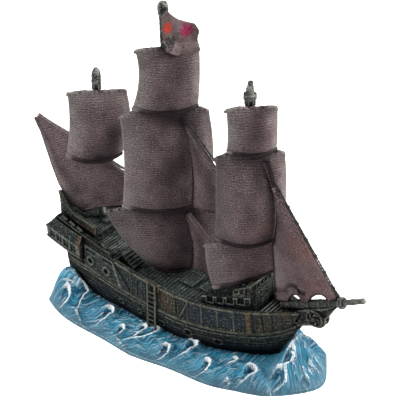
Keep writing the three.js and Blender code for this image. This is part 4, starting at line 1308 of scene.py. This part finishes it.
def bowsprit():
    def wrapped(t):
        return lerp(3.0, 2.4, t) + 0.3 * groove(t, 0.19, 0.02, 0.1)

    def ringed(t):
        return 1.75 - 0.2 * t + 0.35 * bump(t, 0.93, 0.05) + 0.25 * bump(t, 0.45, 0.05)

    spar = bar((73, 0, 49.2), (111.2, 0, 68.2), wrapped, 110, sides=28, grain=0.14, marks={"dark": 0.45})
    piece("bowsprit", [spar], SPAR)
    forward = np.array([38.2, 0, 19.0]) / np.hypot(38.2, 19.0)
    cap = [[2.8, -0.3], [3.6, 0.2], [3.7, 1.2], [3.2, 1.7], [3.5, 2.2], [3.1, 2.7], [1.9, 2.8]]
    cap = turned(cap, (111.6, 0, 68.5), forward, 32, 0.25, grain=0.2, paint=dry_brushed)
    piece("bowsprit_cap", [cap], SPAR)
    marks = {"light": 0.15, "dark": 0.15}
    boom = bar((113.9, 0, 69.7), (127, 0, 77), ringed, 60, sides=24, grain=0.16, marks=marks)
    piece("jib_boom", [boom], SPAR)


# ---- sails ----------------------------------------------------------------------------------
# mast x, head height, foot heights, left edge, right edge, belly, rise of the head from its left
# corner; threes run head, middle, foot for the edges and left, middle, right for the foot.
SAILS = {
    "main_course": (MAIN_X, 86, (41, 41, 40), (-37.5, -26.5, -9), (37, 35, 17), 7.5, 1.5),
    "main_topsail": (MAIN_X, 151, (88, 87, 90), (-26.6, -25, -27), (25.5, 28.5, 26), 9, 3.4),
    "main_topgallant": (MAIN_X, 193, (155, 154, 155), (-16.5, -15, -19.5), (20, 20.3, 19.2), 8, 0.8),
    "fore_course": (FORE_X, 86, (54, 60.5, 67), (-25.2, -24, -20.3), (25, 24, 20), 5, 1.5),
    "fore_topsail": (FORE_X, 145.5, (89.8, 89.4, 91.6), (-19.5, -19.3, -19.3), (19.7, 21.4, 20), 12, 2.2),
    "fore_topgallant": (FORE_X, 175.5, (148.4, 147.4, 148.4), (-14, -13, -13.3), (14.5, 15, 15), 6, 0.8),
    "mizzen_topsail": (MIZZEN_X, 148, (104, 102.5, 103), (-18, -17.9, -21), (17.6, 19.5, 13.5), 10, 0.6),
}
# How dark each sail is down its left side, where the sail before it shades it.
SHADED = {"fore_topsail": 0.5, "main_course": 0.3, "fore_course": 0.15}
# How much red each sail has.
REDNESS = {"fore_topsail": 0.6, "fore_course": 0.5, "main_topgallant": 0.25, "fore_topgallant": 0.35}


def sail_point(sail, t, d, forward):
    """A point of a square sail, t across from the left, d down from the head."""
    x, head, foot, left, right, belly, rise = sail
    across = 1 - np.abs(2 * t - 1) ** 2.2
    down = 1.02 * (1 - (1 - d) ** 2.6) - 0.18 * d**4
    s = lerp(curve3(left, d), curve3(right, d), t)
    out = SAIL_BACK + belly * across * down + forward
    z = lerp(head + rise * smooth(t / 0.2) * (1 - 0.6 * smooth((t - 0.9) / 0.1)), curve3(foot, t), d)
    return x + s * ALONG[0] + out * AHEAD[0], s * ALONG[1] + out * AHEAD[1], z


def weave_relief(across, along, seed):
    """Ridges of coarse cloth: across counts threads, along runs with them."""
    wander = 0.35 * value_noise(stack(along / 5, across / 3, 0 * along), 1.0, seed)
    depth = 0.75 + 0.5 * value_noise(stack(along / 2.4, across / 2, 0 * along), 1.0, seed + 1)
    return 0.12 * depth * np.sin(2 * np.pi * (across / WEAVE + wander))


def yard_radius(middle, taper, pitch, lashing):
    """Radius along a yard: thickest in the middle, with lashings every pitch."""
    return lambda t: middle - taper * np.abs(2 * t - 1) ** 2 + 0.12 * groove(t, pitch, lashing)


def square_sail(name, number):
    sail = SAILS[name]
    x, head, foot, left, right = sail[:5]
    width, height = right[1] - left[1], head - foot[1]
    jagged = 0.7 if name == "fore_topgallant" else 0.35

    def place(u, v, w):
        px, py, pz = sail_point(sail, u, v, SAIL_THICK * w)
        ragged = jagged * value_noise(stack(u * width / 1.7, 0 * u + number, 0 * u), 1.0, number)
        return px, py, pz + ragged * np.exp(-((v * height / 1.6) ** 2))

    def relief(p, n, uvw):
        t, d = uvw[:, 0], uvw[:, 1]
        s = (t - 0.5) * width
        inside = smooth(np.minimum(t, 1 - t) * width / 1.5) * smooth(np.minimum(d, 1 - d) * height / 1.2)
        push = inside * weave_relief(p[:, 2], s, number) + 0.3 * fbm(p, 11, 2, number) * inside
        near_head = np.exp(-((d * height / 1.9) ** 2))
        push = push + near_head * (0.25 + 0.35 * groove(s, 3.1, 0.8) * smooth(uvw[:, 2]))
        near_foot = (1 - d) * height
        return push + 0.45 * bump(near_foot, 0.9, 0.8) - 0.35 * bump(near_foot, 2.6, 0.7)

    def paint(p, n, uvw):
        t, d = uvw[:, 0], uvw[:, 1]
        s = (t - 0.5) * width
        patch = smooth(fbm(p, 16, 2, 40 + number) + 0.25)
        # Light: grey-green paint down the left side; the right edge and a band under the head are painted
        # highlights.
        left_edge = smooth(1 - t / 0.34) * lerp(0.45, 1.0, smooth(0.5 + fbm(p, 7, 2, 60 + number)))
        right_edge = 1.1 * smooth((t - 0.82) / 0.12) * smooth(0.4 + fbm(p, 6, 2, 61 + number))
        light = left_edge * (0.6 if name == "fore_topsail" else 1.0) + right_edge
        light = light + 0.35 * np.exp(-((d * height / 3.5) ** 2))
        # A pale rim down the right edge, painted highlight, stronger on the top sails; the fore topgallant
        # gets a light patch and the mizzen topsail a lit fold low down.
        wear_and_highlight = 0.6 if "top" in name else 0.15
        wear_and_highlight = wear_and_highlight * smooth((t - 0.84) / 0.12) * smooth(0.7 + fbm(p, 6, 2, 62 + number))
        shaded = SHADED.get(name, 0) * smooth(1 - t / 0.3)
        if name == "fore_topgallant":
            wear_and_highlight = wear_and_highlight + 0.5 * bump(t, 0.84, 0.1) * bump(d, 0.26, 0.14)
        if name == "mizzen_topsail":
            wear_and_highlight = wear_and_highlight * smooth((d - 0.3) / 0.3) + 0.25 * bump(d, 0.06, 0.1)
            shaded = 0.8 * bump(t, 0.74, 0.2) * smooth((d - 0.15) / 0.5)
        # Painted shade: darker in the middle, under the head and along the foot.
        shadow = 0.6 * bump(t, 0.58, 0.26) * smooth(0.6 + fbm(p, 18, 2, 65 + number))
        shade_under_head = 0.7 * np.exp(-((d * height / 0.7) ** 2)) * smooth(2.5 * fbm(p, 1.6, 2, 63 + number))
        foot_dark = 0.95 * np.exp(-(((1 - d) * height / 2.2) ** 2)) + 0.25 * smooth((d - 0.8) / 0.2)
        return {"cloth": stack(s, p[:, 2], 0 * s), "light": np.clip(light, 0, 1),
                "rim": np.clip(wear_and_highlight, 0, 0.8),
                "red": REDNESS.get(name, 0.15) * patch * smooth((t - 0.3) / 0.3),
                "dark": np.clip(shadow + shaded + shade_under_head + foot_dark * smooth((t - 0.04) / 0.1), 0, 0.95)}

    cells = (int(width / 0.55), int(height / 0.29), 4)
    piece(f"{name}_sail", [warp(cells, place, relief, paint, grain=0.04)], SAIL)
    ends = []
    for s in (left[0] - 0.8, right[0] + 0.8):
        end_x = x + s * ALONG[0] + YARD_OUT * AHEAD[0]
        ends.append((end_x, s * ALONG[1] + YARD_OUT * AHEAD[1], head - 2.4))
    yard = bar(*ends, yard_radius(1.1, 0.35, 0.11, 0.012), 90, sides=16, marks={"light": 0.3})
    piece(f"{name}_yard", [yard], SPAR)


def front_x(name, z):
    """Where the front of a square sail crosses the centreline at height z."""
    sail = SAILS[name]
    d = np.clip((sail[1] - z) / (sail[1] - curve3(sail[2], 0.7)), 0, 1)
    px, py, _ = sail_point(sail, np.linspace(0, 1, 51), d, SAIL_THICK)
    return max(sail[0], np.max(np.where(np.abs(py) < 2.6, px, sail[0])))


def leech_line(upper, lower, z_top, z_foot):
    """The back edge of a fore-and-aft sail, just ahead of two square sails."""
    z = np.linspace(z_top, z_foot, 24)
    x = [front_x(upper if height > SAILS[lower][1] + 1 else lower, height) + 0.8 for height in z]
    return np.array(x), z


def fore_and_aft(node, leech, luff, belly, foot_arches=None, number=0, red=0.2):
    """A sail near the centreline between two [x, z] lines that run from head to foot."""
    slant, thick = 0.8, 0.9
    is_staysail = number < 3
    grid = np.linspace(0, 1, len(leech[0]))
    size = float(np.hypot(luff[0][-1] - leech[0][-1], luff[1][-1] - leech[1][-1]))
    drop = float(np.hypot(luff[0][-1] - luff[0][0], luff[1][-1] - luff[1][0]))
    span = np.hypot(luff[0] - leech[0], luff[1] - leech[1])

    def place(u, v, w):
        a = np.interp(v, grid, leech[0]), np.interp(v, grid, leech[1])
        b = np.interp(v, grid, luff[0]), np.interp(v, grid, luff[1])
        sag = belly * np.sin(np.pi * u) * np.sin(np.pi * np.clip(0.15 + v, 0, 1) * 0.85)
        x, z = lerp(a[0], b[0], u), lerp(a[1], b[1], u)
        if foot_arches:
            z = z + foot_arches(u) * smooth((v - 0.55) / 0.45)
        pinch = lerp(0.55, 1, smooth(np.minimum(u, 1 - u) * 9))
        return x, -sag + lerp(thick, -thick, w) * pinch, z

    def fold(u, v, width):
        """The roped seam that arches over the open part of the foot."""
        if foot_arches is None:
            return 0 * u
        over_holes = 0.935 + 0.6 * np.clip(foot_arches(u), 0, None) / drop
        sag = 0.02 * np.sin(np.pi * np.clip(u / 0.55, 0, 1))
        return bump(v, over_holes - sag, width) * smooth((0.6 - u) / 0.05)

    def across_threads(p):
        return p[:, 2] * slant + p[:, 0] * math.sqrt(1 - slant**2)

    def relief(p, n, uvw):
        u, v = uvw[:, 0], uvw[:, 1]
        threads = across_threads(p)
        inside = smooth(np.minimum(u, 1 - u) * 8) * smooth(np.minimum(v, 1 - v) * 14)
        push = inside * weave_relief(threads, p[:, 0], number) + 0.3 * fbm(p, 11, 2, number)
        push = push + 0.4 * bump(u, 0.98, 0.02) + 0.35 * bump(v, 0.985, 0.012)
        return push + 0.6 * fold(u, v - 0.012, 0.012) - 0.5 * fold(u, v + 0.016, 0.015)

    def paint(p, n, uvw):
        u, v = uvw[:, 0], uvw[:, 1]
        patch = smooth(fbm(p, 15, 2, 70 + number) + 0.35)
        faded = 0.35 + 0.65 * smooth(0.5 + fbm(p, 8, 2, 80 + number))
        light = smooth(1 - u / 0.4) * faded * smooth(v / 0.2)
        # Painted shade in the middle and under the roped fold; the code also darkens the foot, a line beside
        # the leech and, on a staysail, the luff.
        from_leech = u * np.interp(v, grid, span)
        dark = 0.7 * bump(v, 1.0, 0.02) + 1.2 * bump(from_leech, 0.2, 1.5)
        dark = dark + (0.3 + 0.25 * is_staysail) * bump(u, 0.5, 0.3)
        dark = dark + 0.5 * is_staysail * smooth((u - 0.85) / 0.15) + 0.6 * fold(u, v, 0.016)
        return {"cloth": stack(p[:, 0], across_threads(p), 0 * u),
                "light": (0.3 if is_staysail else 1.0) * light,
                "red": red * patch * smooth((v - 0.3) / 0.4), "dark": np.clip(dark, 0, 0.95)}

    cells = (int(max(size, 12) / 0.5), int(drop / 0.3), 4)
    piece(node, [warp(cells, place, relief, paint, grain=0.04)], SAIL)


def staysails():
    leech = leech_line("main_topsail", "main_course", 149, 91)
    t = np.linspace(0, 1, len(leech[0]))
    luff = lerp(-3.5, 42.5, t), lerp(149.4, 106, t) - 8 * smooth((t - 0.8) / 0.2)
    fore_and_aft("main_staysail", leech, luff, 1.5, number=1, red=0.25)
    leech = leech_line("main_topsail", "main_course", 82.5, 45)
    leech = np.maximum(leech[0], -1.5), leech[1]
    luff = 2.0 + 20.0 * np.minimum(1, t / 0.42), 85.5 - 37 * t
    fore_and_aft("lower_staysail", leech, luff, 1.0, number=2, red=0.1)
    leech = leech_line("fore_topsail", "fore_course", 143, 53)
    straight = lerp(63.0, 67.0, (92 - leech[1]) / 39)
    leech = np.where(leech[1] < 92, straight, leech[0]), leech[1]
    luff = lerp(52.6, 109.6, t), lerp(143.2, 70.8, t)

    def arches(u):
        """Height added to the jib's foot: two arches, and a foot that hangs low except at the tack."""
        aft = 5.6 * np.sin(np.pi * np.clip((u - 0.24) / 0.225, 0, 1)) ** 0.6
        fore = 6.4 * np.sin(np.pi * np.clip((u - 0.57) / 0.32, 0, 1)) ** 0.7
        return aft + fore - 3.4 * smooth((1 - u) / 0.15)

    fore_and_aft("jib", leech, luff, 2.5, arches, number=3, red=0.95)


def lateen():
    """The lateen sail and its yard, drawn along the mast's own X and swung to starboard."""
    # x and z of the head and of the foot at each knot, from the peak to the tack
    knots = [0, 0.1, 0.3, 0.5, 0.62, 0.72, 0.82, 0.92, 1]
    head = ([-38.5, -34.5, -24, -12, -5, 2, 9, 17.2, 26],
            [123.8, 121.6, 117, 112, 108.8, 105.5, 101.8, 95.5, 92])
    foot = ([-41.5, -37.5, -33, -27, -19.5, -9.8, -1, 12, 26],
            [120.5, 112, 97, 76.5, 63.5, 58.5, 64, 68.5, 72])
    c, s = math.cos(LATEEN_SWING), math.sin(LATEEN_SWING)

    def swing(p):
        return stack(p[:, 0] * c - p[:, 1] * s + MIZZEN_X, p[:, 0] * s + p[:, 1] * c, p[:, 2])

    def place(u, v, w):
        top = np.interp(u, knots, head[0]), np.interp(u, knots, head[1])
        low = np.interp(u, knots, foot[0]), np.interp(u, knots, foot[1])
        sag = 2.5 * np.sin(np.pi * u) * np.sin(np.pi * (1 - v) * 0.8)
        return lerp(low[0], top[0], v), -5 - sag + lerp(0.9, -0.9, w), lerp(low[1], top[1], v)

    def threads(p):
        return p[:, 2] * 0.9 - p[:, 0] * 0.43

    def relief(p, n, uvw):
        u, v = uvw[:, 0], uvw[:, 1]
        inside = smooth(np.minimum(u, 1 - u) * 12) * smooth(np.minimum(v, 1 - v) * 10)
        push = inside * weave_relief(threads(p), p[:, 0], 9) + 0.35 * fbm(p, 11, 2, 9)
        return push + bump(v, 0.98, 0.02) * (0.35 + 0.3 * groove(u, 0.055, 0.012)) + 0.7 * bump(v, 0.03, 0.03)

    def paint(p, n, uvw):
        u, v = uvw[:, 0], uvw[:, 1]
        aft = smooth((0.72 - u) / 0.1)
        edge = aft * bump(v, 0, 0.14) * smooth(0.7 + fbm(p, 8, 2, 33)) + 0.4 * bump(v, 1.0, 0.05)
        return {"cloth": stack(p[:, 0], threads(p), 0 * u), "light": np.clip(edge, 0, 0.8),
                "red": 0.15 * smooth(fbm(p, 14, 2, 3)), "rim": 0.5 * aft * bump(v, 0, 0.12),
                "dark": 0.5 * (1 - aft) * bump(v, 0, 0.05) + 0.3 * smooth((u - 0.6) / 0.3)
                + 0.45 * aft * bump(v, 0.3, 0.15)}

    sail = warp((140, 150, 4), place, relief, paint, grain=0.04, turn=swing)
    piece("lateen_sail", [sail], SAIL)
    ends = swing(np.array([[-41.5, -2.9, 120.6], [31, -2.9, 90.2]]))
    yard = bar(*ends, yard_radius(0.9, 0.25, 0.08, 0.01), 110, marks={"light": 0.3})
    piece("lateen_yard", [yard], SPAR)


STAYS = {"fore_stay": ((53.4, 0, 143.8), (111.3, 0, 71.0)), "main_stay": ((-2, 0, 151), (42.2, 0, 109.2))}


def stays():
    """Standing rigging, with small blocks seized along it."""
    def lumps(t):
        rope = 0.5 + 0.1 * np.sin(t * 260)
        return rope + 0.45 * groove(t, 0.115, 0.008) + 0.5 * bump(t, 0.97, 0.02)

    for node, ends in STAYS.items():
        rope = bar(*ends, lumps, 260, sides=12, marks={"light": 0.05, "dark": 0.75})
        piece(node, [rope], SPAR)


# Height of the flag's upper and lower edge, from the mast outwards.
FLAG_U = [0, 0.2, 0.35, 0.52, 0.72, 0.9, 1]
FLAG_TOP_Z = [211.5, 216.1, 212.6, 209.1, 207.3, 206.8, 203.0]
FLAG_FOOT_Z = [192.5, 190.5, 188.6, 187.2, 188.6, 190.2, 190.8]


def flag():
    def place(u, v, w):
        s = lerp(-2.4 + 1.6 * smooth((0.3 - v) / 0.3), 20.2, u) - 0.8 * bump(v, 0.55, 0.3) * u
        over_sail = 4.0 * smooth((0.42 - v) / 0.3)
        out = 3.4 + 1.0 * np.sin(u * 5 + 1) + 0.5 * np.sin(u * 9 + v * 5) + over_sail + lerp(0, 1.5, w)
        z = lerp(np.interp(u, FLAG_U, FLAG_FOOT_Z), np.interp(u, FLAG_U, FLAG_TOP_Z), v)
        return MAIN_X + s * ALONG[0] + out * AHEAD[0], s * ALONG[1] + out * AHEAD[1], z + 0.4 * over_sail

    def relief(p, n, uvw):
        return 0.35 * fbm(p, 4, 3, 44) + 0.1 * np.sin(2 * np.pi * p[:, 2] / WEAVE)

    def paint(p, n, uvw):
        u, z = uvw[:, 0], p[:, 2]
        soot = bump(u, 0.25, 0.16) * bump(z, 197.4, 3.8) + 0.8 * bump(u, 0.02, 0.06)
        return {"orange": bump(u, 0.22, 0.13) * bump(z, 205.5, 4.2),
                "magenta": bump(u, 0.68, 0.2) * bump(z, 203.4, 4.6), "soot": np.clip(soot, 0, 1)}

    piece("flag", [warp((54, 52, 5), place, relief, paint)], FLAG)


# ---- the sea --------------------------------------------------------------------------------
# Curling wave crests: hook centre x, y, hook radius, tail length, tail bend, height, half width.
CURLS = [
    (-73.5, -44.0, 2.4, 5, 0.4, 2.0, 0.6), (-74.0, -36.0, 3.2, 13, 0.8, 3.0, 0.7),
    (-65.5, -28.0, 3.2, 16, -0.2, 3.2, 0.8), (-40.0, -32.0, 3.6, 17, 0.8, 3.8, 0.8),
    (-24.0, -38.0, 2.0, 9, 1.0, 2.4, 0.6), (-11.5, -31.0, 2.4, 13, 0.9, 2.8, 0.6),
    (-3.5, -28.5, 2.6, 18, 1.4, 3.0, 0.6), (11.0, -37.0, 3.0, 14, 1.2, 3.4, 0.8),
    (23.5, -26.0, 3.9, 23, 0.9, 4.4, 1.1), (41.0, -33.5, 2.6, 15, 1.2, 3.4, 0.8),
    (66.5, -23.0, 4.2, 21, 1.1, 4.6, 0.8), (82.5, -15.5, 5.0, 22, 0.9, 5.6, 0.9),
    (53.0, -20.5, 1.6, 9, 0.5, 2.4, 0.6), (96.0, -7.0, 4.0, 15, 0.8, 4.4, 0.8),
    (83.0, -5.0, 3.0, 9, 0.6, 3.2, 0.7), (58.0, -36.0, 1.8, 9, 1.1, 2.4, 0.6),
]
PORT_CURLS = [(-c[0] * 0.92 - 4, 1.0 + abs(c[1]) * 0.98, *c[2:]) for c in CURLS[1:10]]
# Ridges of water, each from (x, y) to (x, y) with height, half width and foam.
RIDGES = [
    ((82, 3), (89, 5), 5.0, 3.0, 0.5), ((96, 2), (100, 8), 7.0, 4.0, 0.9),
    ((93, -3), (97, 1), 3.0, 2.2, 0.9), ((84, -3), (90, -8), 2.5, 1.6, 0.8),
    ((-62, -40), (-43, -50), 1.6, 1.0, 0.9), ((-28, -43), (-13, -47), 1.6, 1.1, 0.8),
    ((-84, -20), (-68, -28), 3.0, 3.2, 0.5), ((-80, -34), (-72, -31), 1.6, 1.2, 0.7),
    ((84, 0), (74, 9), 3.0, 2.6, 0.5), ((-84, 20), (-68, 28), 3.0, 3.2, 0.3),
    ((62, 17), (80, 30), 3.0, 2.2, 0.6), ((89, 9), (93, 14), 3.6, 1.5, 0.9),
    ((93, 14), (98, 11), 3.6, 1.5, 0.9), ((99, 9), (99, 3), 3.2, 1.4, 0.9),
    ((98, 1), (93, 2), 2.6, 1.2, 0.9), ((93, 6), (96, 8), 2.6, 1.2, 0.9),
    ((88, 4), (84, 12), 2.6, 1.3, 0.7),
]


def curl_path(cx, cy, radius, tail, bend, side):
    turn = np.linspace(3.1, 0, 14)
    shrink = lerp(1.0, 0.6, turn / 3.1)
    hook = stack(cx + radius * shrink * np.cos(turn), cy + radius * shrink * np.sin(turn))
    t = np.linspace(0, 1, 12)[1:]
    line = stack(cx + radius - tail * bend * t**2, cy - tail * t)
    path = np.concatenate([hook, line])
    if side > 0:
        path[:, 1] = 2 * cy - path[:, 1]
    return path


def near_path(x, y, path, reach=14.0):
    """Distance to a path, how far along it (0..1), and which side of it the point is on."""
    best = np.full(x.shape, 1e3)
    where, hand = np.zeros(x.shape), np.ones(x.shape)
    low, high = path.min(0) - reach, path.max(0) + reach
    close = (x > low[0]) & (x < high[0]) & (y > low[1]) & (y < high[1])
    px, py = x[close], y[close]
    nearest, part, turn = best[close], where[close], hand[close]
    for k in range(len(path) - 1):
        a, b = path[k], path[k + 1]
        along = b - a
        t = np.clip(((px - a[0]) * along[0] + (py - a[1]) * along[1]) / (along @ along), 0, 1)
        away = np.hypot(px - a[0] - t * along[0], py - a[1] - t * along[1])
        cross = along[0] * (py - a[1]) - along[1] * (px - a[0])
        closer = away < nearest
        nearest = np.where(closer, away, nearest)
        part = np.where(closer, (k + t) / (len(path) - 1), part)
        turn = np.where(closer, np.sign(cross), turn)
    best[close], where[close], hand[close] = nearest, part, turn
    return best, where, hand


def sea_surface(x, y):
    """Height of the carved water with its paint marks: foam, darker hollows with painted shade beside the
    hull, streaks and current.
    """
    side = np.abs(y)
    flat = stack(x, y, 0 * x)
    lean = np.where(y < 0, 1, -1)
    bent = flat + 5.0 * stack(fbm(flat, 14, 2, 1), fbm(flat, 14, 2, 2), 0 * x)
    bent = bent + 2.2 * stack(fbm(flat, 4, 2, 8), fbm(flat, 4, 2, 9), 0 * x)
    out = np.clip(-lean * bent[..., 1] - 22, -6, 30)
    across = bent[..., 0] + 0.036 * out**2 * np.sign(out) + 0.2 * out
    along = out - 0.35 * bent[..., 0]
    ahead = smooth((x - 64) / 18)
    from_bow = bent[..., 0] - 80, bent[..., 1] - 1
    across = lerp(across, 15 * np.arctan2(from_bow[1], np.maximum(from_bow[0], 0.5)), ahead)
    along = lerp(along, np.hypot(*from_bow), ahead)
    z = WATER_Z + 1.4 * fbm(flat, 15, 2, 7) * smooth((side - 20) / 8)
    z = z + 16 * hill(x, side, -79, 26, 12, 8) + 18 * hill(x, side, -86, 31, 9, 9)
    z = z + 18 * hill(x, y, 84, 0, 9.5, 11) + 7 * hill(x, y, 84, 2, 5, 6)
    z = z + 13 * hill(x, y, 93, 8, 5, 5.5)
    z = z - 4.0 * np.clip((side - 34) / 12, 0, 1)
    foam, deep = np.zeros(x.shape), np.zeros(x.shape)
    crests = [(curl_path(*c[:5], -1), c[5], c[6], -1) for c in CURLS]
    crests += [(curl_path(*c[:5], 1), c[5], c[6], 1) for c in PORT_CURLS]
    ragged = fbm(flat, 1.5, 3, 77)
    swell = 0.0
    for path, height, width, side_of in crests:
        away, part, hand = near_path(x, y, path)
        hollow = hand * side_of > 0
        fade = smooth((1.06 - part) * 3.0)
        back = np.exp(-((away / (2.8 * width + 0.8)) ** 2))
        front = np.exp(-((away / (0.7 * width)) ** 2)) - 0.3 * bump(away, 2.4 * width, 1.4 * width)
        z = z + height * fade * np.where(hollow, front, back)
        thick = (0.5 + 0.75 * width * np.sin(np.pi * np.clip(part * 1.1, 0, 1))) * (1 + 0.25 * ragged)
        foam = np.maximum(foam, fade**0.4 * smooth((1.25 * thick - away) / (0.9 * width)))
        deep = np.maximum(deep, 0.5 * fade * np.where(hollow, bump(away, 2.4 * width, 1.6 * width), 0))
        swell = np.maximum(swell, fade * bump(away, 0, 9))
    for a, b, height, width, white in RIDGES:
        away, part, hand = near_path(x, y, np.array([a, b], float))
        shape = np.exp(-((away / width) ** 2)) * (1 + 0.35 * fbm(flat, 3, 2, 5))
        z = z + height * shape
        foam = np.maximum(foam, white * smooth((shape - 0.6 + 0.6 * ragged) / 0.3))
    z = z + 0.45 * foam * (ragged + 0.2)
    flow = 0.5 + 0.5 * fbm(stack(across / 1.3, along / 8, 0 * x), 1.0, 3, 30)
    chop = 1 - np.abs(fbm(stack(across / 5.0, along / 11, 0 * x), 1.0, 2, 31)) * 1.6
    z = z + 1.5 * (flow - 0.5) + 1.3 * (np.clip(chop, 0, 1) ** 3 - 0.4) * smooth((side - 18) / 10)
    lace = 0.8 * smooth((chop - 0.86) / 0.12) * smooth(fbm(flat, 4, 2, 90) * 1.8 + 0.1)
    foam = np.maximum(foam, 0.6 * lace)
    # Painted shade on the water beside the hull.
    beside = np.exp(-((np.maximum(side - hull_half(x, 10.0), 0) / 4.0) ** 2)) * smooth((72 - x) / 14)
    deep = np.maximum(deep, 0.75 * beside)
    streak = np.clip(0.35 + 0.5 * fbm(flat, 12, 2, 95) + 0.5 * swell, 0, 1)
    return z, {"foam": foam, "deep": deep, "light": streak, "cloth": stack(across, along, z)}


def base_outline(u, v):
    """A point of the base, and how near its rim it is: 0 in the middle, 1 on the rim."""
    a, b = 2 * u - 1, 2 * v - 1
    toward_bow = np.clip((a + 0.1) / 0.9, 0, 1)
    corner = np.where((a > 0) & (b < 0), 0.34, 0.18)
    x = BASE_LENGTH / 2 * a * np.sqrt(1 - corner * b * b)
    width = lerp(BASE_WIDTH, BASE_BOW_WIDTH, toward_bow) * (1 + 0.014 * np.sin(9 * a + 2))
    x = x + 5.5 * smooth((a - 0.55) / 0.45) * bump(b, 0.08, 0.5)
    width = width * (1 + 0.05 * bump(a, 0.6, 0.3) * (b < 0))
    return x, width / 2 * b * np.sqrt(1 - 0.38 * a**4), np.maximum(np.abs(a), np.abs(b))


def wave_base():
    """The base, with a socket for the hull; store keeps the marks that place works out."""
    store = {}

    def place(u, v, w):
        x, y, rim = base_outline(u, v)
        z, marks = sea_surface(x, y)
        shoulder = rim**7
        top = lerp(z, np.minimum(z, 1.4 + 0.03 * z), shoulder)
        socket = smooth((hull_half(x, np.clip(top, 4, 34)) - 1.2 - np.abs(y)) / 0.5)
        socket = socket * smooth((stem_x(top) - 1.5 - x) / 0.6) * smooth((x - stern_x(top) - 1.0) / 0.6)
        floor = lerp(top, 3.6, socket)
        foam = marks["foam"] * (1 - 0.7 * shoulder)
        store.update(marks, rim=rim**9, foam=foam, light=marks["light"] * (1 - 0.6 * rim**6))
        tuck = 1 - 0.012 * w
        return x * tuck, y * tuck, floor * w

    def relief(p, n, uvw):
        wall = smooth((0.5 - n[:, 2]) / 0.3) * smooth(p[:, 2] / 1.5)
        return wall * 0.25 * fbm(stack(p[:, 0] / 3, p[:, 1] / 3, p[:, 2]), 1.0, 3, 61)

    def paint(p, n, uvw):
        return dict(store)

    piece("wave_base", [warp((470, 230, 6), place, relief, paint, soften=0, grain=0.05)], SEA)


# ---- stage, light and camera ----------------------------------------------------------------
TARGET = Vector((0.010, 0.0, 0.098))
VIEW_AZIMUTH, VIEW_ELEVATION, VIEW_DISTANCE = 38, 33, 0.7784
FOCAL_LENGTH, SENSOR_WIDTH = 117.0, 36.0
WORLD_STRENGTH = 0.16
FLOOR_HALF = 4.0
FLOOR_GLOW = (0.12, 0.9)         # as it lights the model, and as the camera sees it
LIGHT_DISTANCE = 1.3
# name, azimuth (0 looks along +Y), elevation, diameter in metres, watts
LIGHTS = [
    ("left_softbox", -52, 28, 0.7, 14.0),
    ("right_softbox", 128, 30, 0.7, 20.0),
    ("top_softbox", 38, 78, 0.9, 7.0),
]


def aimed(name, data, azimuth, elevation, distance):
    """A lamp or camera that looks at the target."""
    a, e = math.radians(azimuth), math.radians(elevation)
    out = Vector((math.sin(a) * math.cos(e), -math.cos(a) * math.cos(e), math.sin(e)))
    thing = bpy.data.objects.new(name, data)
    thing.location = TARGET + out * distance
    thing.rotation_euler = out.to_track_quat("Z", "Y").to_euler()
    bpy.context.scene.collection.objects.link(thing)
    return thing


def floor():
    g = Paint("floor_white")
    speck = g.noise(3.0)
    colour = g.mix(g.spread(speck, 0.3, 0.7), rgb(249, 249, 249), rgb(252, 252, 252))
    white = g.finish(colour, g.spread(speck, 0.3, 0.7, 0.7, 0.8), speck, 0.005)
    g.shader.inputs["Emission Color"].default_value = (1, 1, 1, 1)
    seen = g.spread(g.add("LightPath", {}, "Is Camera Ray"), 0, 1, *FLOOR_GLOW)
    g.tree.links.new(seen, g.shader.inputs["Emission Strength"])
    mesh = bpy.data.meshes.new("floor")
    half = FLOOR_HALF
    outline = [(-half, -half, 0), (half, -half, 0), (half, half, 0), (-half, half, 0)]
    mesh.from_pydata(outline, [], [(0, 1, 2, 3)])
    mesh.materials.append(white)
    plane = bpy.data.objects.new("floor", mesh)
    bpy.context.scene.collection.objects.link(plane)


def lights():
    world = bpy.data.worlds.new("studio")
    world.use_nodes = True
    sky = next(n for n in world.node_tree.nodes if n.type == "BACKGROUND")
    sky.inputs["Color"].default_value = (1, 1, 1, 1)
    sky.inputs["Strength"].default_value = WORLD_STRENGTH
    bpy.context.scene.world = world
    for name, azimuth, elevation, size, power in LIGHTS:
        data = bpy.data.lights.new(name, "AREA")
        data.shape, data.size, data.energy = "DISK", size, power
        aimed(name, data, azimuth, elevation, LIGHT_DISTANCE)


def camera():
    data = bpy.data.cameras.new("camera")
    data.lens, data.sensor_width = FOCAL_LENGTH, SENSOR_WIDTH
    data.clip_start, data.clip_end = 0.05, 20.0
    bpy.context.scene.camera = aimed("camera", data, VIEW_AZIMUTH, VIEW_ELEVATION, VIEW_DISTANCE)
    bpy.context.scene.view_settings.view_transform = "Standard"


# ---- assembly -------------------------------------------------------------------------------
hull()
decks()
taffrail()
stern_gallery()
rudder()
for hand, hand_name in ((1, "port"), (-1, "starboard")):
    wale(hand, hand_name)
    bulwark(hand, hand_name)
    quarter_panel(hand, hand_name)
    quarter_rail(hand, hand_name)
    quarter_gallery(hand, hand_name)
    poop_bulwark(hand, hand_name)
    figurehead_scroll(hand, hand_name)
companion_stairs()
boarding_ladder()
forecastle()
forecastle_rail()
beakhead_grating()
head_knee()
bowsprit()
masts()
for index, sail_name in enumerate(SAILS):
    square_sail(sail_name, 10 + index)
staysails()
lateen()
stays()
flag()
wave_base()
floor()
lights()
camera()
